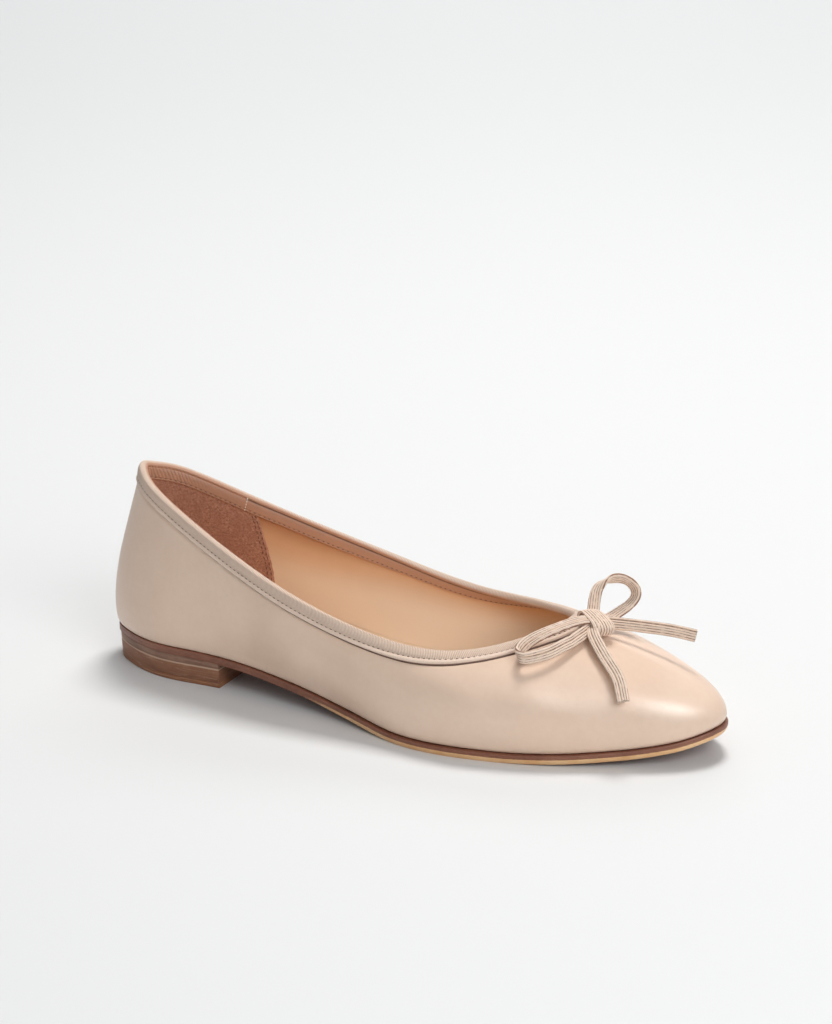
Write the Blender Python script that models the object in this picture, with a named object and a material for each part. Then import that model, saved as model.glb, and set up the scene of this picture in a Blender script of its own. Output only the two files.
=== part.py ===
"""A ballet flat for the right foot: lasted leather upper with a bound topline and a sewn
cord bow, an insole, a thin leather outsole and a low stacked heel.

Lengths are in metres. The shoe is modelled with x running from the heel's back to the toe,
y to the wearer's left and z up from the floor, and is then moved so that the origin lies
under the middle of its box.
"""

from math import cos, pi, radians, sin

import bmesh
import bpy
import numpy as np
from mathutils import Vector
from mathutils.bvhtree import BVHTree

MM = 0.001

# Last and sole.
SOLE_LENGTH = 250 * MM
BALL_WIDTH = 80 * MM
HEEL_SEAT_HEIGHT = 13.5 * MM
BACK_HEIGHT = 62.5 * MM
TOE_SPRING = 9.3 * MM
SEAT_GAP = 0.3 * MM

# Upper.
UPPER_WALL = 1.4 * MM
LASTING_MARGIN = 8 * MM
FEATHER_ROUNDING = 1.2 * MM

# Binding over the topline.
BINDING_THICKNESS = 0.6 * MM
BINDING_GAP = 0.4 * MM
BINDING_OUTER_LEG = 5.8 * MM
BINDING_INNER_LEG = 7 * MM

# Insole.
INSOLE_THICKNESS = 2.4 * MM

# Outsole.
FOREPART_THICKNESS = 3.4 * MM
WAIST_THICKNESS = 2.7 * MM
SOLE_OVERHANG = 1.0 * MM
SOLE_EDGE_ROUNDING = 0.3 * MM
SOLE_BEVEL_WIDTH = 0.8 * MM
SOLE_BEVEL_HEIGHT = 1.7 * MM

# Stacked heel.
HEEL_LENGTH = 54.5 * MM
HEEL_INSET = 0.3 * MM
HEEL_TAPER = 0.7 * MM
FIRST_LIFT_THICKNESS = 2.7 * MM
TOP_PIECE_THICKNESS = 1.8 * MM

# Bow.
CORD_WIDTH = 4.6 * MM
CORD_THICKNESS = 1.8 * MM
CORD_GAP = 0.4 * MM
LOOP_REACH = 30 * MM
TAIL_REACH = 40 * MM
KNOT_SETBACK = 10 * MM
KNOT_ACROSS = -2 * MM
KNOT_WIDTH = 9 * MM
KNOT_LENGTH = 13.5 * MM
KNOT_HEIGHT = 5.8 * MM
KNOT_TURN = radians(32)
KNOT_END_SHRINK = 0.34
KNOT_ROUNDNESS = 0.75

# Mesh fineness.
RING_POINTS = 96
HEEL_RING_POINTS = 34
LOOP_STEPS = 30
TAIL_STEPS = 16
KNOT_STEPS = 10
KNOT_SIDES = 18
ARC_SAMPLES = 60
PATH_SAMPLES = 240

# The feather line in plan, the edge where upper meets sole.
# along: share of SOLE_LENGTH from the heel's back. lateral, medial: shares of BALL_WIDTH.
FEATHER_PLAN = (
    # along, lateral, medial
    (0.00, 0.000, 0.000),
    (0.04, 0.165, 0.212),
    (0.12, 0.268, 0.337),
    (0.22, 0.275, 0.345),
    (0.34, 0.325, 0.320),
    (0.46, 0.410, 0.320),
    (0.58, 0.530, 0.410),
    (0.68, 0.525, 0.460),
    (0.78, 0.455, 0.425),
    (0.88, 0.325, 0.345),
    (0.95, 0.220, 0.225),
    (1.00, 0.000, 0.000),
)

# Height of the sole's top face over the forepart.
# heel: share of the heel seat's rise over the forepart. toe: share of TOE_SPRING.
SEAT_PROFILE = (
    # along, heel, toe
    (0.00, 1.00, 0.00),
    (0.14, 1.00, 0.00),
    (0.24, 0.89, 0.00),
    (0.35, 0.62, 0.00),
    (0.46, 0.22, 0.00),
    (0.56, 0.00, 0.00),
    (0.70, 0.00, 0.00),
    (0.78, 0.00, 0.06),
    (0.88, 0.00, 0.28),
    (0.95, 0.00, 0.61),
    (1.00, 0.00, 1.00),
)

# Outsole along its length. thick: share of the way from waist to forepart thickness.
# overhang: share of SOLE_OVERHANG past the feather line. bevel: share of the bevel.
SOLE_SHAPE = (
    # along, thick, overhang, bevel
    (0.00, 0.00, -0.3, 0.15),
    (0.24, 0.00, 0.00, 0.15),
    (0.38, 0.30, 0.40, 0.40),
    (0.52, 1.00, 0.90, 1.00),
    (0.85, 1.00, 1.00, 1.00),
    (1.00, 1.00, 0.60, 0.80),
)

# Ribs of the upper from the feather line up to the topline.
# foot: where the rib stands, share of SOLE_LENGTH. top: where it ends, share of SOLE_LENGTH.
# lateral, medial: half widths of the topline, shares of BALL_WIDTH.
# height: topline over the heel seat, share of BACK_HEIGHT.
# rise, reach: length of the rib's lower and upper handles, shares of BACK_HEIGHT.
# flare, lean: degrees that the handles turn outward.
UPPER_RIBS = (
    # foot, top, lateral, medial, height, rise, flare, reach, lean
    (0.00, 0.045, 0.000, 0.000, 1.030, 0.28, 12.5, 0.41, 15),
    (0.02, 0.058, 0.080, 0.080, 1.005, 0.28, 13.0, 0.41, 9),
    (0.06, 0.086, 0.158, 0.158, 0.960, 0.27, 14.0, 0.40, 3),
    (0.15, 0.167, 0.255, 0.255, 0.820, 0.24, 15.0, 0.35, 0),
    (0.30, 0.297, 0.362, 0.362, 0.619, 0.20, 19.0, 0.27, 2),
    (0.45, 0.405, 0.418, 0.418, 0.484, 0.18, 21.0, 0.15, 14),
    (0.60, 0.530, 0.430, 0.430, 0.370, 0.18, 21.0, 0.15, 42),
    (0.72, 0.632, 0.390, 0.390, 0.352, 0.20, 20.0, 0.32, 70),
    (0.85, 0.722, 0.198, 0.198, 0.423, 0.22, 16.0, 0.43, 74),
    (0.95, 0.755, 0.080, 0.080, 0.468, 0.23, 12.0, 0.54, 71),
    (1.00, 0.760, 0.000, 0.000, 0.480, 0.23, 10.0, 0.59, 70),
)

# Cords of the bow, from the knot's middle. forward, across, up: shares of the cord's reach.
# wide_forward, wide_across, wide_up: the way that the cord's width runs.
LATERAL_LOOP = (
    # forward, across, up, wide_forward, wide_across, wide_up
    (-0.02, -0.04, 0.05, -0.70, 0.63, 0.34),
    (-0.17, -0.23, 0.06, -0.78, 0.56, 0.27),
    (-0.37, -0.50, 0.01, -0.80, 0.50, 0.32),
    (-0.54, -0.71, -0.07, -0.76, 0.32, 0.52),
    (-0.62, -0.85, -0.15, -0.60, -0.12, 0.76),
    (-0.61, -0.94, -0.19, -0.12, -0.48, 0.86),
    (-0.54, -0.99, -0.20, 0.20, -0.10, 0.97),
    (-0.44, -0.93, -0.20, -0.20, 0.15, 0.96),
    (-0.29, -0.78, -0.17, -0.42, 0.12, 0.89),
    (-0.17, -0.58, -0.12, -0.52, 0.05, 0.85),
    (-0.07, -0.33, -0.09, -0.56, 0.00, 0.83),
    (-0.02, -0.10, -0.07, -0.56, 0.00, 0.83),
)
MEDIAL_LOOP = (
    # forward, across, up, wide_forward, wide_across, wide_up
    (-0.07, 0.08, 0.02, -0.99, -0.12, 0.07),
    (-0.12, 0.18, 0.08, -0.98, -0.17, 0.13),
    (-0.14, 0.27, 0.21, -0.97, -0.06, 0.13),
    (-0.12, 0.37, 0.33, -0.82, 0.57, 0.06),
    (0.01, 0.48, 0.41, -0.19, 0.50, -0.84),
    (0.16, 0.58, 0.37, -0.55, 0.37, -0.74),
    (0.25, 0.62, 0.25, -0.87, 0.25, -0.43),
    (0.24, 0.56, 0.13, -0.91, 0.39, -0.01),
    (0.15, 0.42, 0.04, -0.76, 0.56, 0.33),
    (0.06, 0.27, -0.02, -0.74, 0.52, 0.41),
    (0.00, 0.10, -0.04, -0.74, 0.52, 0.41),
)
LATERAL_TAIL = (
    # forward, across, up, wide_forward, wide_across, wide_up
    (0.01, -0.08, 0.00, 0.74, 0.54, 0.42),
    (0.04, -0.18, -0.03, 0.74, 0.54, 0.42),
    (0.13, -0.28, -0.09, 0.74, 0.54, 0.42),
    (0.23, -0.36, -0.16, 0.74, 0.54, 0.42),
    (0.34, -0.44, -0.23, 0.74, 0.54, 0.42),
    (0.44, -0.52, -0.31, 0.74, 0.54, 0.42),
    (0.53, -0.63, -0.45, 0.74, 0.54, 0.42),
)
MEDIAL_TAIL = (
    # forward, across, up, wide_forward, wide_across, wide_up
    (0.02, 0.04, -0.01, -0.15, 0.32, 0.93),
    (0.20, 0.14, -0.03, -0.15, 0.32, 0.93),
    (0.42, 0.22, -0.05, -0.15, 0.32, 0.93),
    (0.64, 0.28, -0.07, -0.15, 0.32, 0.93),
    (0.84, 0.32, -0.10, -0.15, 0.32, 0.93),
)

# Corner-rounded section of a cord, in shares of half its width and half its thickness.
CORD_SECTION = (
    (-1.0, -0.4),
    (-0.7, -1.0),
    (0.7, -1.0),
    (1.0, -0.4),
    (1.0, 0.4),
    (0.7, 1.0),
    (-0.7, 1.0),
    (-1.0, 0.4),
)


def even_curve(knots, values, at, period=None):
    """A cubic curve with even curvature through the values, closed if a period is given."""
    knots = np.asarray(knots, float)
    values = np.asarray(values, float).reshape(len(knots), -1)
    if period is not None:
        knots = np.append(knots, knots[0] + period)
        values = np.vstack([values, values[:1]])
    step = np.diff(knots)
    rise = np.diff(values, axis=0) / step[:, None]
    count = len(knots)
    system = np.eye(count)
    right = np.zeros_like(values)
    for i in range(1, count - 1):
        system[i, i - 1 : i + 2] = step[i - 1], 2 * (step[i - 1] + step[i]), step[i]
        right[i] = 6 * (rise[i] - rise[i - 1])
    if period is not None:
        system[0, -1] = -1
        system[-1, 0] += 2 * step[0]
        system[-1, 1] += step[0]
        system[-1, -2] += step[-1]
        system[-1, -1] = 2 * step[-1]
        right[-1] = 6 * (rise[0] - rise[-1])
    bend = np.linalg.solve(system, right)
    at = np.atleast_1d(np.asarray(at, float))
    if period is not None:
        at = (at - knots[0]) % period + knots[0]
    i = np.clip(np.searchsorted(knots, at, "right") - 1, 0, count - 2)
    wide = step[i][:, None]
    before = (at - knots[i])[:, None]
    after = wide - before
    ends = bend[i] * after**3 + bend[i + 1] * before**3
    left = values[i] / wide - bend[i] * wide / 6
    over = values[i + 1] / wide - bend[i + 1] * wide / 6
    return ends / (6 * wide) + left * after + over * before


def steady_curve(table, along):
    """A smooth curve through a table's rows that never swings past its values."""
    table = np.asarray(table, float)
    knots, values = table[:, 0], table[:, 1:]
    step = np.diff(knots)[:, None]
    rise = np.diff(values, axis=0) / step
    slope = np.zeros_like(values)
    both = rise[:-1] * rise[1:]
    mean = 2 * both / np.where(both > 0, rise[:-1] + rise[1:], 1)
    slope[1:-1] = np.where(both > 0, mean, 0)
    slope[-1] = rise[-1]
    along = np.clip(np.atleast_1d(np.asarray(along, float)), knots[0], knots[-1])
    i = np.clip(np.searchsorted(knots, along, "right") - 1, 0, len(step) - 1)
    t = ((along - knots[i])[:, None]) / step[i]
    rising = t * t * (3 - 2 * t)
    swing = t * (1 - t) * step[i]
    level = values[i] * (1 - rising) + values[i + 1] * rising
    return level + swing * ((1 - t) * slope[i] - t * slope[i + 1])


def foot_angle(along):
    """The angle round the feather line at a share of the sole's length, on the lateral side."""
    return np.arccos(1 - 2 * np.asarray(along, float))


def around(rows, lateral_values, medial_values):
    """A table of both sides as one closed run: lateral side out, medial side back."""
    there = [foot_angle(row[0]) for row in rows]
    back = [2 * pi - foot_angle(row[0]) for row in rows[-2:0:-1]]
    values = [lateral_values(row) for row in rows] + [medial_values(row) for row in rows[-2:0:-1]]
    return np.array(there + back), np.array(values, float)


def seat_height(x):
    """Height of the outsole's top face at a place along the shoe."""
    heel, toe = steady_curve(SEAT_PROFILE, x / SOLE_LENGTH).T
    return FOREPART_THICKNESS + heel * (HEEL_SEAT_HEIGHT - FOREPART_THICKNESS) + toe * TOE_SPRING


def sole_shape(x):
    """Thickness, overhang and share of the bevel at a place along the shoe."""
    thick, overhang, bevel = steady_curve(SOLE_SHAPE, x / SOLE_LENGTH).T
    thickness = WAIST_THICKNESS + thick * (FOREPART_THICKNESS - WAIST_THICKNESS)
    return thickness, overhang * SOLE_OVERHANG, bevel


def feather_line(angle):
    """Points of the feather line, on the outsole's top face."""
    knots, halves = around(FEATHER_PLAN, lambda row: -row[1], lambda row: row[2])
    y = even_curve(knots, halves, angle, 2 * pi)[:, 0] * BALL_WIDTH
    x = (1 - np.cos(angle)) / 2 * SOLE_LENGTH
    return np.stack([x, y, seat_height(x)], -1)


def level_outward(ring):
    """Level unit vectors that point out of a closed ring of points."""
    run = np.roll(ring, -1, 0) - np.roll(ring, 1, 0)
    out = np.stack([run[:, 1], -run[:, 0], 0 * run[:, 0]], -1)
    return out / np.linalg.norm(out, axis=1)[:, None]


def unit(vectors):
    return vectors / np.linalg.norm(vectors, axis=-1)[..., None]


def rib_handles(angle):
    """The four control points of each rib of the upper."""
    foot = feather_line(angle)
    foot[:, 2] += SEAT_GAP
    knots, columns = around(
        UPPER_RIBS,
        lambda row: (row[1], -row[2], *row[4:]),
        lambda row: (row[1], row[3], *row[4:]),
    )
    along, half, height, rise, flare, reach, lean = even_curve(knots, columns, angle, 2 * pi).T[:, :, None]
    top = np.hstack([along * SOLE_LENGTH, half * BALL_WIDTH, HEEL_SEAT_HEIGHT + height * BACK_HEIGHT])
    flare, lean = np.radians(flare), np.radians(lean)
    up = np.array([0.0, 0.0, 1.0])
    low = np.cos(flare) * up + np.sin(flare) * level_outward(foot)
    high = np.sin(lean) * level_outward(top) - np.cos(lean) * up
    return foot, foot + rise * BACK_HEIGHT * low, top + reach * BACK_HEIGHT * high, top


def outer_face(angle, share):
    """Points and outward normals of the upper's outer face, from feather line (0) to topline (1)."""
    p0, p1, p2, p3 = rib_handles(angle)
    s = np.asarray(share, float)[:, None, None]
    r = 1 - s
    points = r**3 * p0 + 3 * s * r**2 * p1 + 3 * s**2 * r * p2 + s**3 * p3
    climb = r**2 * (p1 - p0) + 2 * s * r * (p2 - p1) + s**2 * (p3 - p2)
    run = np.roll(points, -1, 1) - np.roll(points, 1, 1)
    return points, unit(np.cross(run, climb)), unit(climb)


def faces_at(angle, distances):
    """Points, outward normals and climb of the outer face at distances down from the topline."""
    points, normals, climbs = outer_face(angle, np.linspace(1, 0, ARC_SAMPLES))
    steps = np.linalg.norm(np.diff(points, axis=0), axis=2)
    reach = np.vstack([np.zeros(len(angle)), np.cumsum(steps, axis=0)])
    found = np.empty((3, len(distances), len(angle), 3))
    for column in range(len(angle)):
        for which, grid in enumerate((points, normals, climbs)):
            for axis in range(3):
                found[which, :, column, axis] = np.interp(distances, reach[:, column], grid[:, column, axis])
    return found[0], unit(found[1]), unit(found[2])


def inset_ring(angle, inset, lift):
    """The feather line moved inward, at a height over the outsole's top face."""
    ring = feather_line(angle)
    ring = ring - inset * level_outward(ring)
    ring[:, 2] = seat_height(ring[:, 0]) + lift
    return ring


def inner_profile(angle):
    """Rings of the upper's inner face, from the lasting margin's top up to the topline."""
    points, normals, _ = outer_face(angle, (0.14, 0.3, 0.5, 0.7, 0.86, 1.0))
    fold = inset_ring(angle, UPPER_WALL + FEATHER_ROUNDING, SEAT_GAP + UPPER_WALL)
    return [fold, *(points - UPPER_WALL * normals)]


def inner_ring_at(angle, lift):
    """Where the upper's inner face stands at a height over the outsole, less the seat gap."""
    profile = np.array(inner_profile(angle))
    above = profile[:, :, 2] - seat_height(profile[0, :, 0])
    ring = profile[0].copy()
    for column in range(len(angle)):
        for axis in range(2):
            ring[column, axis] = np.interp(lift, above[:, column], profile[:, column, axis])
    ring -= SEAT_GAP * level_outward(ring)
    ring[:, 2] = seat_height(ring[:, 0]) + lift
    return ring


def surface(name, colour, roughness):
    """A plain material. colour: red, green and blue as seen on a screen."""
    material = bpy.data.materials.new(name)
    material.use_nodes = True
    shader = material.node_tree.nodes["Principled BSDF"]
    linear = [((c + 0.055) / 1.055) ** 2.4 for c in colour]
    shader.inputs["Base Color"].default_value = (*linear, 1)
    shader.inputs["Roughness"].default_value = roughness
    shader.inputs["Metallic"].default_value = 0
    material.diffuse_color = (*linear, 1)
    return material


def finish(name, bm, material):
    """Make an object of a closed mesh, with its faces pointing out and its round faces smooth."""
    bmesh.ops.triangulate(bm, faces=[face for face in bm.faces if len(face.verts) > 3])
    bmesh.ops.recalc_face_normals(bm, faces=bm.faces)
    mesh = bpy.data.meshes.new(name)
    bm.to_mesh(mesh)
    bm.free()
    mesh.shade_smooth()
    mesh.set_sharp_from_angle(angle=radians(40))
    mesh.materials.append(material)
    piece = bpy.data.objects.new(name, mesh)
    bpy.context.collection.objects.link(piece)
    return piece


def add_rings(bm, rings):
    """Vertices of each ring, with faces between one ring and the next."""
    made = [[bm.verts.new(point) for point in ring] for ring in rings]
    for low, high in zip(made, made[1:]):
        join_rings(bm, low, high)
    return made


def join_rings(bm, low, high):
    """A band of faces between two rings of as many points."""
    count = len(low)
    for i in range(count):
        j = (i + 1) % count
        bm.faces.new((low[i], low[j], high[j], high[i]))


def add_cap(bm, ring, ends_in_points):
    """Fill a ring with strips across it, from its first point to its middle one."""
    count = len(ring)
    if ends_in_points:
        bm.faces.new((ring[0], ring[1], ring[-1]))
        for i in range(1, count // 2 - 1):
            bm.faces.new((ring[i], ring[i + 1], ring[-i - 1], ring[-i]))
        middle = count // 2
        bm.faces.new((ring[middle - 1], ring[middle], ring[middle + 1]))
        return
    for i in range(count // 2 - 1):
        bm.faces.new((ring[i], ring[i + 1], ring[-i - 2], ring[-i - 1]))


def ring_angles():
    return np.linspace(0, 2 * pi, RING_POINTS, endpoint=False)


def hollow_band(name, rings, material):
    """A closed wall swept round the shoe: each ring joins the next and the last joins the first."""
    bm = bmesh.new()
    made = add_rings(bm, rings)
    join_rings(bm, made[-1], made[0])
    return finish(name, bm, material)


def plate(name, rings, material, ends_in_points=True):
    """A solid plate: rings from its top face round its edge to its bottom face."""
    bm = bmesh.new()
    made = add_rings(bm, rings)
    add_cap(bm, made[0], ends_in_points)
    add_cap(bm, made[-1], ends_in_points)
    return finish(name, bm, material)


def build_upper(material):
    """The lasted upper: one wall from the margin under the insole up to the topline."""
    angle = ring_angles()
    outer, _, _ = outer_face(angle, (0.05, 0.12, 0.2, 0.3, 0.4, 0.5, 0.6, 0.7, 0.8, 0.9, 1.0))
    inner = inner_profile(angle)
    _, _, climb = outer_face(angle, (1.0,))
    rim = (outer[-1] + inner[-1]) / 2 + UPPER_WALL * 0.4 * climb[0]
    margin_low = inset_ring(angle, LASTING_MARGIN, SEAT_GAP)
    margin_high = inset_ring(angle, LASTING_MARGIN, SEAT_GAP + UPPER_WALL)
    turn = inset_ring(angle, FEATHER_ROUNDING, SEAT_GAP)
    rings = [margin_low, turn, *outer, rim, *inner[::-1], margin_high]
    return hollow_band("upper", rings, material)


def binding_side(angle, offset):
    """Rings of the binding at an offset from the wall: outer leg, turn over the rim, inner leg."""
    outer_drops = np.array([1.0, 0.66, 0.33]) * BINDING_OUTER_LEG
    inner_drops = np.array([0.33, 0.66, 1.0]) * BINDING_INNER_LEG
    points, normals, _ = faces_at(angle, outer_drops)
    outer = points + offset * normals
    points, normals, _ = faces_at(angle, inner_drops)
    inner = points - (UPPER_WALL + offset) * normals
    points, normals, climbs = faces_at(angle, np.array([0.0]))
    middle = points[0] - UPPER_WALL / 2 * normals[0]
    radius = UPPER_WALL / 2 + offset
    turn = [middle + radius * (cos(a) * normals[0] + sin(a) * climbs[0]) for a in (0, pi / 3, 2 * pi / 3, pi)]
    return [*outer, *turn, *inner]


def build_binding(material):
    """The ribbed tape folded over the topline."""
    angle = ring_angles()
    near = binding_side(angle, BINDING_GAP)
    far = binding_side(angle, BINDING_GAP + BINDING_THICKNESS)
    return hollow_band("topline_binding", near + far[::-1], material)


def build_insole(material):
    """The insole, on the lasting margin and inside the wall."""
    angle = ring_angles()
    low = SEAT_GAP + UPPER_WALL + SEAT_GAP
    rings = [inner_ring_at(angle, low + INSOLE_THICKNESS), inner_ring_at(angle, low)]
    return plate("insole", rings, material)


def sole_ring(angle, inset, drop, fall=0.0, bevel_inset=0.0, bevel_lift=0.0):
    """A ring of the outsole's edge. drop: share of the thickness below the top face."""
    ring = feather_line(angle)
    _, overhang, bevel = sole_shape(ring[:, 0])
    ring = ring + (overhang - inset - bevel_inset * bevel)[:, None] * level_outward(ring)
    thickness, _, bevel = sole_shape(ring[:, 0])
    ring[:, 2] = seat_height(ring[:, 0]) - drop * thickness - fall + bevel_lift * bevel
    return ring


def build_outsole(material):
    """The leather outsole, with a softened upper edge and a bevelled lower one."""
    angle = ring_angles()
    rings = [
        sole_ring(angle, SOLE_EDGE_ROUNDING, 0),
        sole_ring(angle, 0, 0, fall=SOLE_EDGE_ROUNDING),
        sole_ring(angle, 0, 1, bevel_lift=SOLE_BEVEL_HEIGHT),
        sole_ring(angle, 0, 1, bevel_inset=SOLE_BEVEL_WIDTH),
    ]
    return plate("outsole", rings, material)


def heel_ring(height, inset):
    """The heel's outline: the sole's edge drawn in and cut off straight at the breast."""
    reach = foot_angle(HEEL_LENGTH / SOLE_LENGTH)
    angle = np.linspace(0, 2 * pi, 4 * RING_POINTS, endpoint=False)
    edge = sole_ring(angle, inset, 0)
    wanted = np.linspace(-reach, reach, HEEL_RING_POINTS) % (2 * pi)
    ring = np.stack([np.interp(wanted, angle, edge[:, axis], period=2 * pi) for axis in range(3)], -1)
    ring[:, 2] = height
    return ring


def order_for_cap(ring):
    """Start a heel's ring at the middle of its back, so that strips run across it."""
    half = len(ring) // 2
    return np.vstack([ring[half:], ring[:half]])


def heel_layer(name, low, high, material):
    """One flat layer of the heel, up to a height or, with None, to the sole's underside."""
    def inset_at(height):
        return HEEL_INSET + HEEL_TAPER * (1 - height / HEEL_SEAT_HEIGHT)

    bottom = order_for_cap(heel_ring(low, inset_at(low)))
    if high is None:
        top = order_for_cap(heel_ring(0, inset_at(HEEL_SEAT_HEIGHT - WAIST_THICKNESS)))
        thickness, _, _ = sole_shape(top[:, 0])
        top[:, 2] = seat_height(top[:, 0]) - thickness - SEAT_GAP
    else:
        top = order_for_cap(heel_ring(high, inset_at(high)))
    return plate(name, [top, bottom], material, ends_in_points=False)


def build_heel(first_material, second_material, top_piece_material):
    """The stacked heel: top piece on the floor, then two lifts under the sole."""
    seam = HEEL_SEAT_HEIGHT - WAIST_THICKNESS - SEAT_GAP - FIRST_LIFT_THICKNESS
    return [
        heel_layer("heel_lift_upper", seam, None, first_material),
        heel_layer("heel_lift_lower", TOP_PIECE_THICKNESS + SEAT_GAP, seam - SEAT_GAP, second_material),
        heel_layer("heel_top_piece", 0.0, TOP_PIECE_THICKNESS, top_piece_material),
    ]


def knot_frame(vamp):
    """The knot's middle and its axes: along the loops, along the wrap, away from the vamp."""
    points, _, _ = faces_at(ring_angles(), np.array([KNOT_SETBACK]))
    front = points[0, RING_POINTS // 2]
    above = Vector((front[0], front[1] + KNOT_ACROSS, front[2] + BACK_HEIGHT))
    seat, normal = vamp.ray_cast(above, Vector((0, 0, -1)))[:2]
    away = np.array(normal)
    middle = np.array(seat) + (BINDING_GAP + BINDING_THICKNESS + SEAT_GAP + KNOT_HEIGHT / 2) * away
    forward = unit(np.cross((0.0, 1.0, 0.0), away))
    side = np.cross(away, forward)
    along = cos(KNOT_TURN) * side + sin(KNOT_TURN) * forward
    return middle, along, np.cross(along, away), away


def build_knot(frame, material):
    """The knot: a short barrel of rounded sections, drawn in at both ends."""
    middle, along, wrap, away = frame
    rings = []
    for t in np.linspace(-1, 1, KNOT_STEPS):
        size = 1 - KNOT_END_SHRINK * t**4
        ring = []
        for turn in np.linspace(0, 2 * pi, KNOT_SIDES, endpoint=False):
            c, s = cos(turn), sin(turn)
            front = np.sign(c) * abs(c) ** KNOT_ROUNDNESS * KNOT_LENGTH / 2 * size
            lift = np.sign(s) * abs(s) ** KNOT_ROUNDNESS * KNOT_HEIGHT / 2 * size
            ring.append(middle + t * KNOT_WIDTH / 2 * along + front * wrap + lift * away)
        rings.append(ring)
    return plate("bow_knot", rings, material)


def clear_of_knot(points, frame):
    """Whether every point stands clear of the knot."""
    middle, along, wrap, away = frame
    offset = np.asarray(points) - middle
    t = np.abs(offset @ along) / (KNOT_WIDTH / 2 + CORD_GAP)
    size = 1 - KNOT_END_SHRINK * np.minimum(t, 1) ** 4
    front = np.abs(offset @ wrap) / (KNOT_LENGTH / 2 * size + CORD_GAP)
    lift = np.abs(offset @ away) / (KNOT_HEIGHT / 2 * size + CORD_GAP)
    power = 2 / KNOT_ROUNDNESS
    return bool(np.all((t > 1) | (front**power + lift**power > 1)))


def vamp_surface():
    """The upper's outer face as a surface to lay the cords over."""
    angle = ring_angles()
    grid, _, _ = outer_face(angle, np.linspace(0, 1, 25))
    rows, columns = grid.shape[:2]
    verts = [Vector(point) for point in grid.reshape(-1, 3)]
    faces = []
    for r in range(rows - 1):
        for c in range(columns):
            d = (c + 1) % columns
            faces.append((r * columns + c, r * columns + d, (r + 1) * columns + d, (r + 1) * columns + c))
    return BVHTree.FromPolygons(verts, faces)


def cord_sections(table, reach, at, vamp, frame):
    """Sections of a cord along its table, held clear of the vamp."""
    table = np.array(table, float)
    run = even_curve(np.linspace(0, 1, len(table)), table, at)
    points = frame[0] + reach * run[:, :3]
    tangents = unit(np.gradient(points, axis=0))
    wide_way = run[:, 3:]
    across = unit(wide_way - np.sum(wide_way * tangents, axis=1)[:, None] * tangents)
    thin = np.cross(tangents, across)
    sections = []
    for point, wide, deep in zip(points, across, thin):
        ring = [point + a * CORD_WIDTH / 2 * wide + b * CORD_THICKNESS / 2 * deep for a, b in CORD_SECTION]
        sections.append(np.array(ring) + np.array([0, 0, lift_clear(ring, vamp)]))
    return sections


def build_cord(name, table, reach, steps, vamp, frame, material):
    """A flat cord of the bow, from where it leaves the knot."""
    path = np.linspace(0, 1, PATH_SAMPLES)
    fine = cord_sections(table, reach, path, vamp, frame)
    free = [clear_of_knot(section, frame) for section in fine]
    first = free.index(True)
    last = len(free) - 1 - free[::-1].index(True)
    rings = [fine[i] for i in np.linspace(first, last, steps).round().astype(int)]
    bm = bmesh.new()
    made = add_rings(bm, rings)
    bm.faces.new(made[0])
    bm.faces.new(made[-1])
    return finish(name, bm, material)


def lift_clear(ring, vamp):
    """How far a section has to rise to clear the vamp and its binding."""
    clearance = BINDING_GAP + BINDING_THICKNESS + SEAT_GAP
    lift = 0.0
    for point in ring:
        high = Vector(point) + Vector((0, 0, BACK_HEIGHT))
        hit = vamp.ray_cast(high, Vector((0, 0, -1)))[0]
        if hit is not None:
            lift = max(lift, hit.z + clearance - point[2])
    return lift


def build_bow(material):
    """The sewn cord bow: knot, two loops and two tails."""
    vamp = vamp_surface()
    frame = knot_frame(vamp)
    pieces = [build_knot(frame, material)]
    for name, table, reach, steps in (
        ("bow_loop_lateral", LATERAL_LOOP, LOOP_REACH, LOOP_STEPS),
        ("bow_loop_medial", MEDIAL_LOOP, LOOP_REACH, LOOP_STEPS),
        ("bow_tail_lateral", LATERAL_TAIL, TAIL_REACH, TAIL_STEPS),
        ("bow_tail_medial", MEDIAL_TAIL, TAIL_REACH, TAIL_STEPS),
    ):
        pieces.append(build_cord(name, table, reach, steps, vamp, frame, material))
    return pieces


def centre_on_floor(pieces):
    """Move the shoe so that the origin lies under the middle of its box."""
    corners = np.array([vertex.co for piece in pieces for vertex in piece.data.vertices])
    middle = (corners.min(axis=0) + corners.max(axis=0)) / 2
    for piece in pieces:
        piece.location = (-middle[0], -middle[1], 0)


def main():
    for item in list(bpy.data.objects):
        bpy.data.objects.remove(item, do_unlink=True)
    nude = surface("smooth_calf_leather", (0.82, 0.72, 0.64), 0.42)
    tape = surface("ribbed_binding_tape", (0.80, 0.69, 0.61), 0.75)
    cord = surface("ribbed_bow_cord", (0.80, 0.70, 0.62), 0.8)
    tan = surface("insole_leather", (0.83, 0.66, 0.50), 0.6)
    sole = surface("sole_leather", (0.55, 0.36, 0.27), 0.5)
    first_lift = surface("heel_lift_leather", (0.49, 0.37, 0.30), 0.6)
    second_lift = surface("stained_heel_leather", (0.53, 0.37, 0.29), 0.55)
    top_piece = surface("top_piece_rubber", (0.45, 0.31, 0.24), 0.7)
    pieces = [
        build_upper(nude),
        build_outsole(sole),
        build_insole(tan),
        build_binding(tape),
        *build_heel(first_lift, second_lift, top_piece),
        *build_bow(cord),
    ]
    centre_on_floor(pieces)


main()
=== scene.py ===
"""Looks of the ballet flat: smooth leather upper, ribbed binding, cord bow, insole, sole and heel.

The tables and form functions are the part's, and the pieces follow them. Lengths are in metres. The
shoe is worked out with x from the heel's back to the toe, y to the wearer's left and z up, and is
then moved into the part's frame. Lateral is its outer side, medial its inner one.
"""

from math import cos, pi, radians, sin

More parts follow.
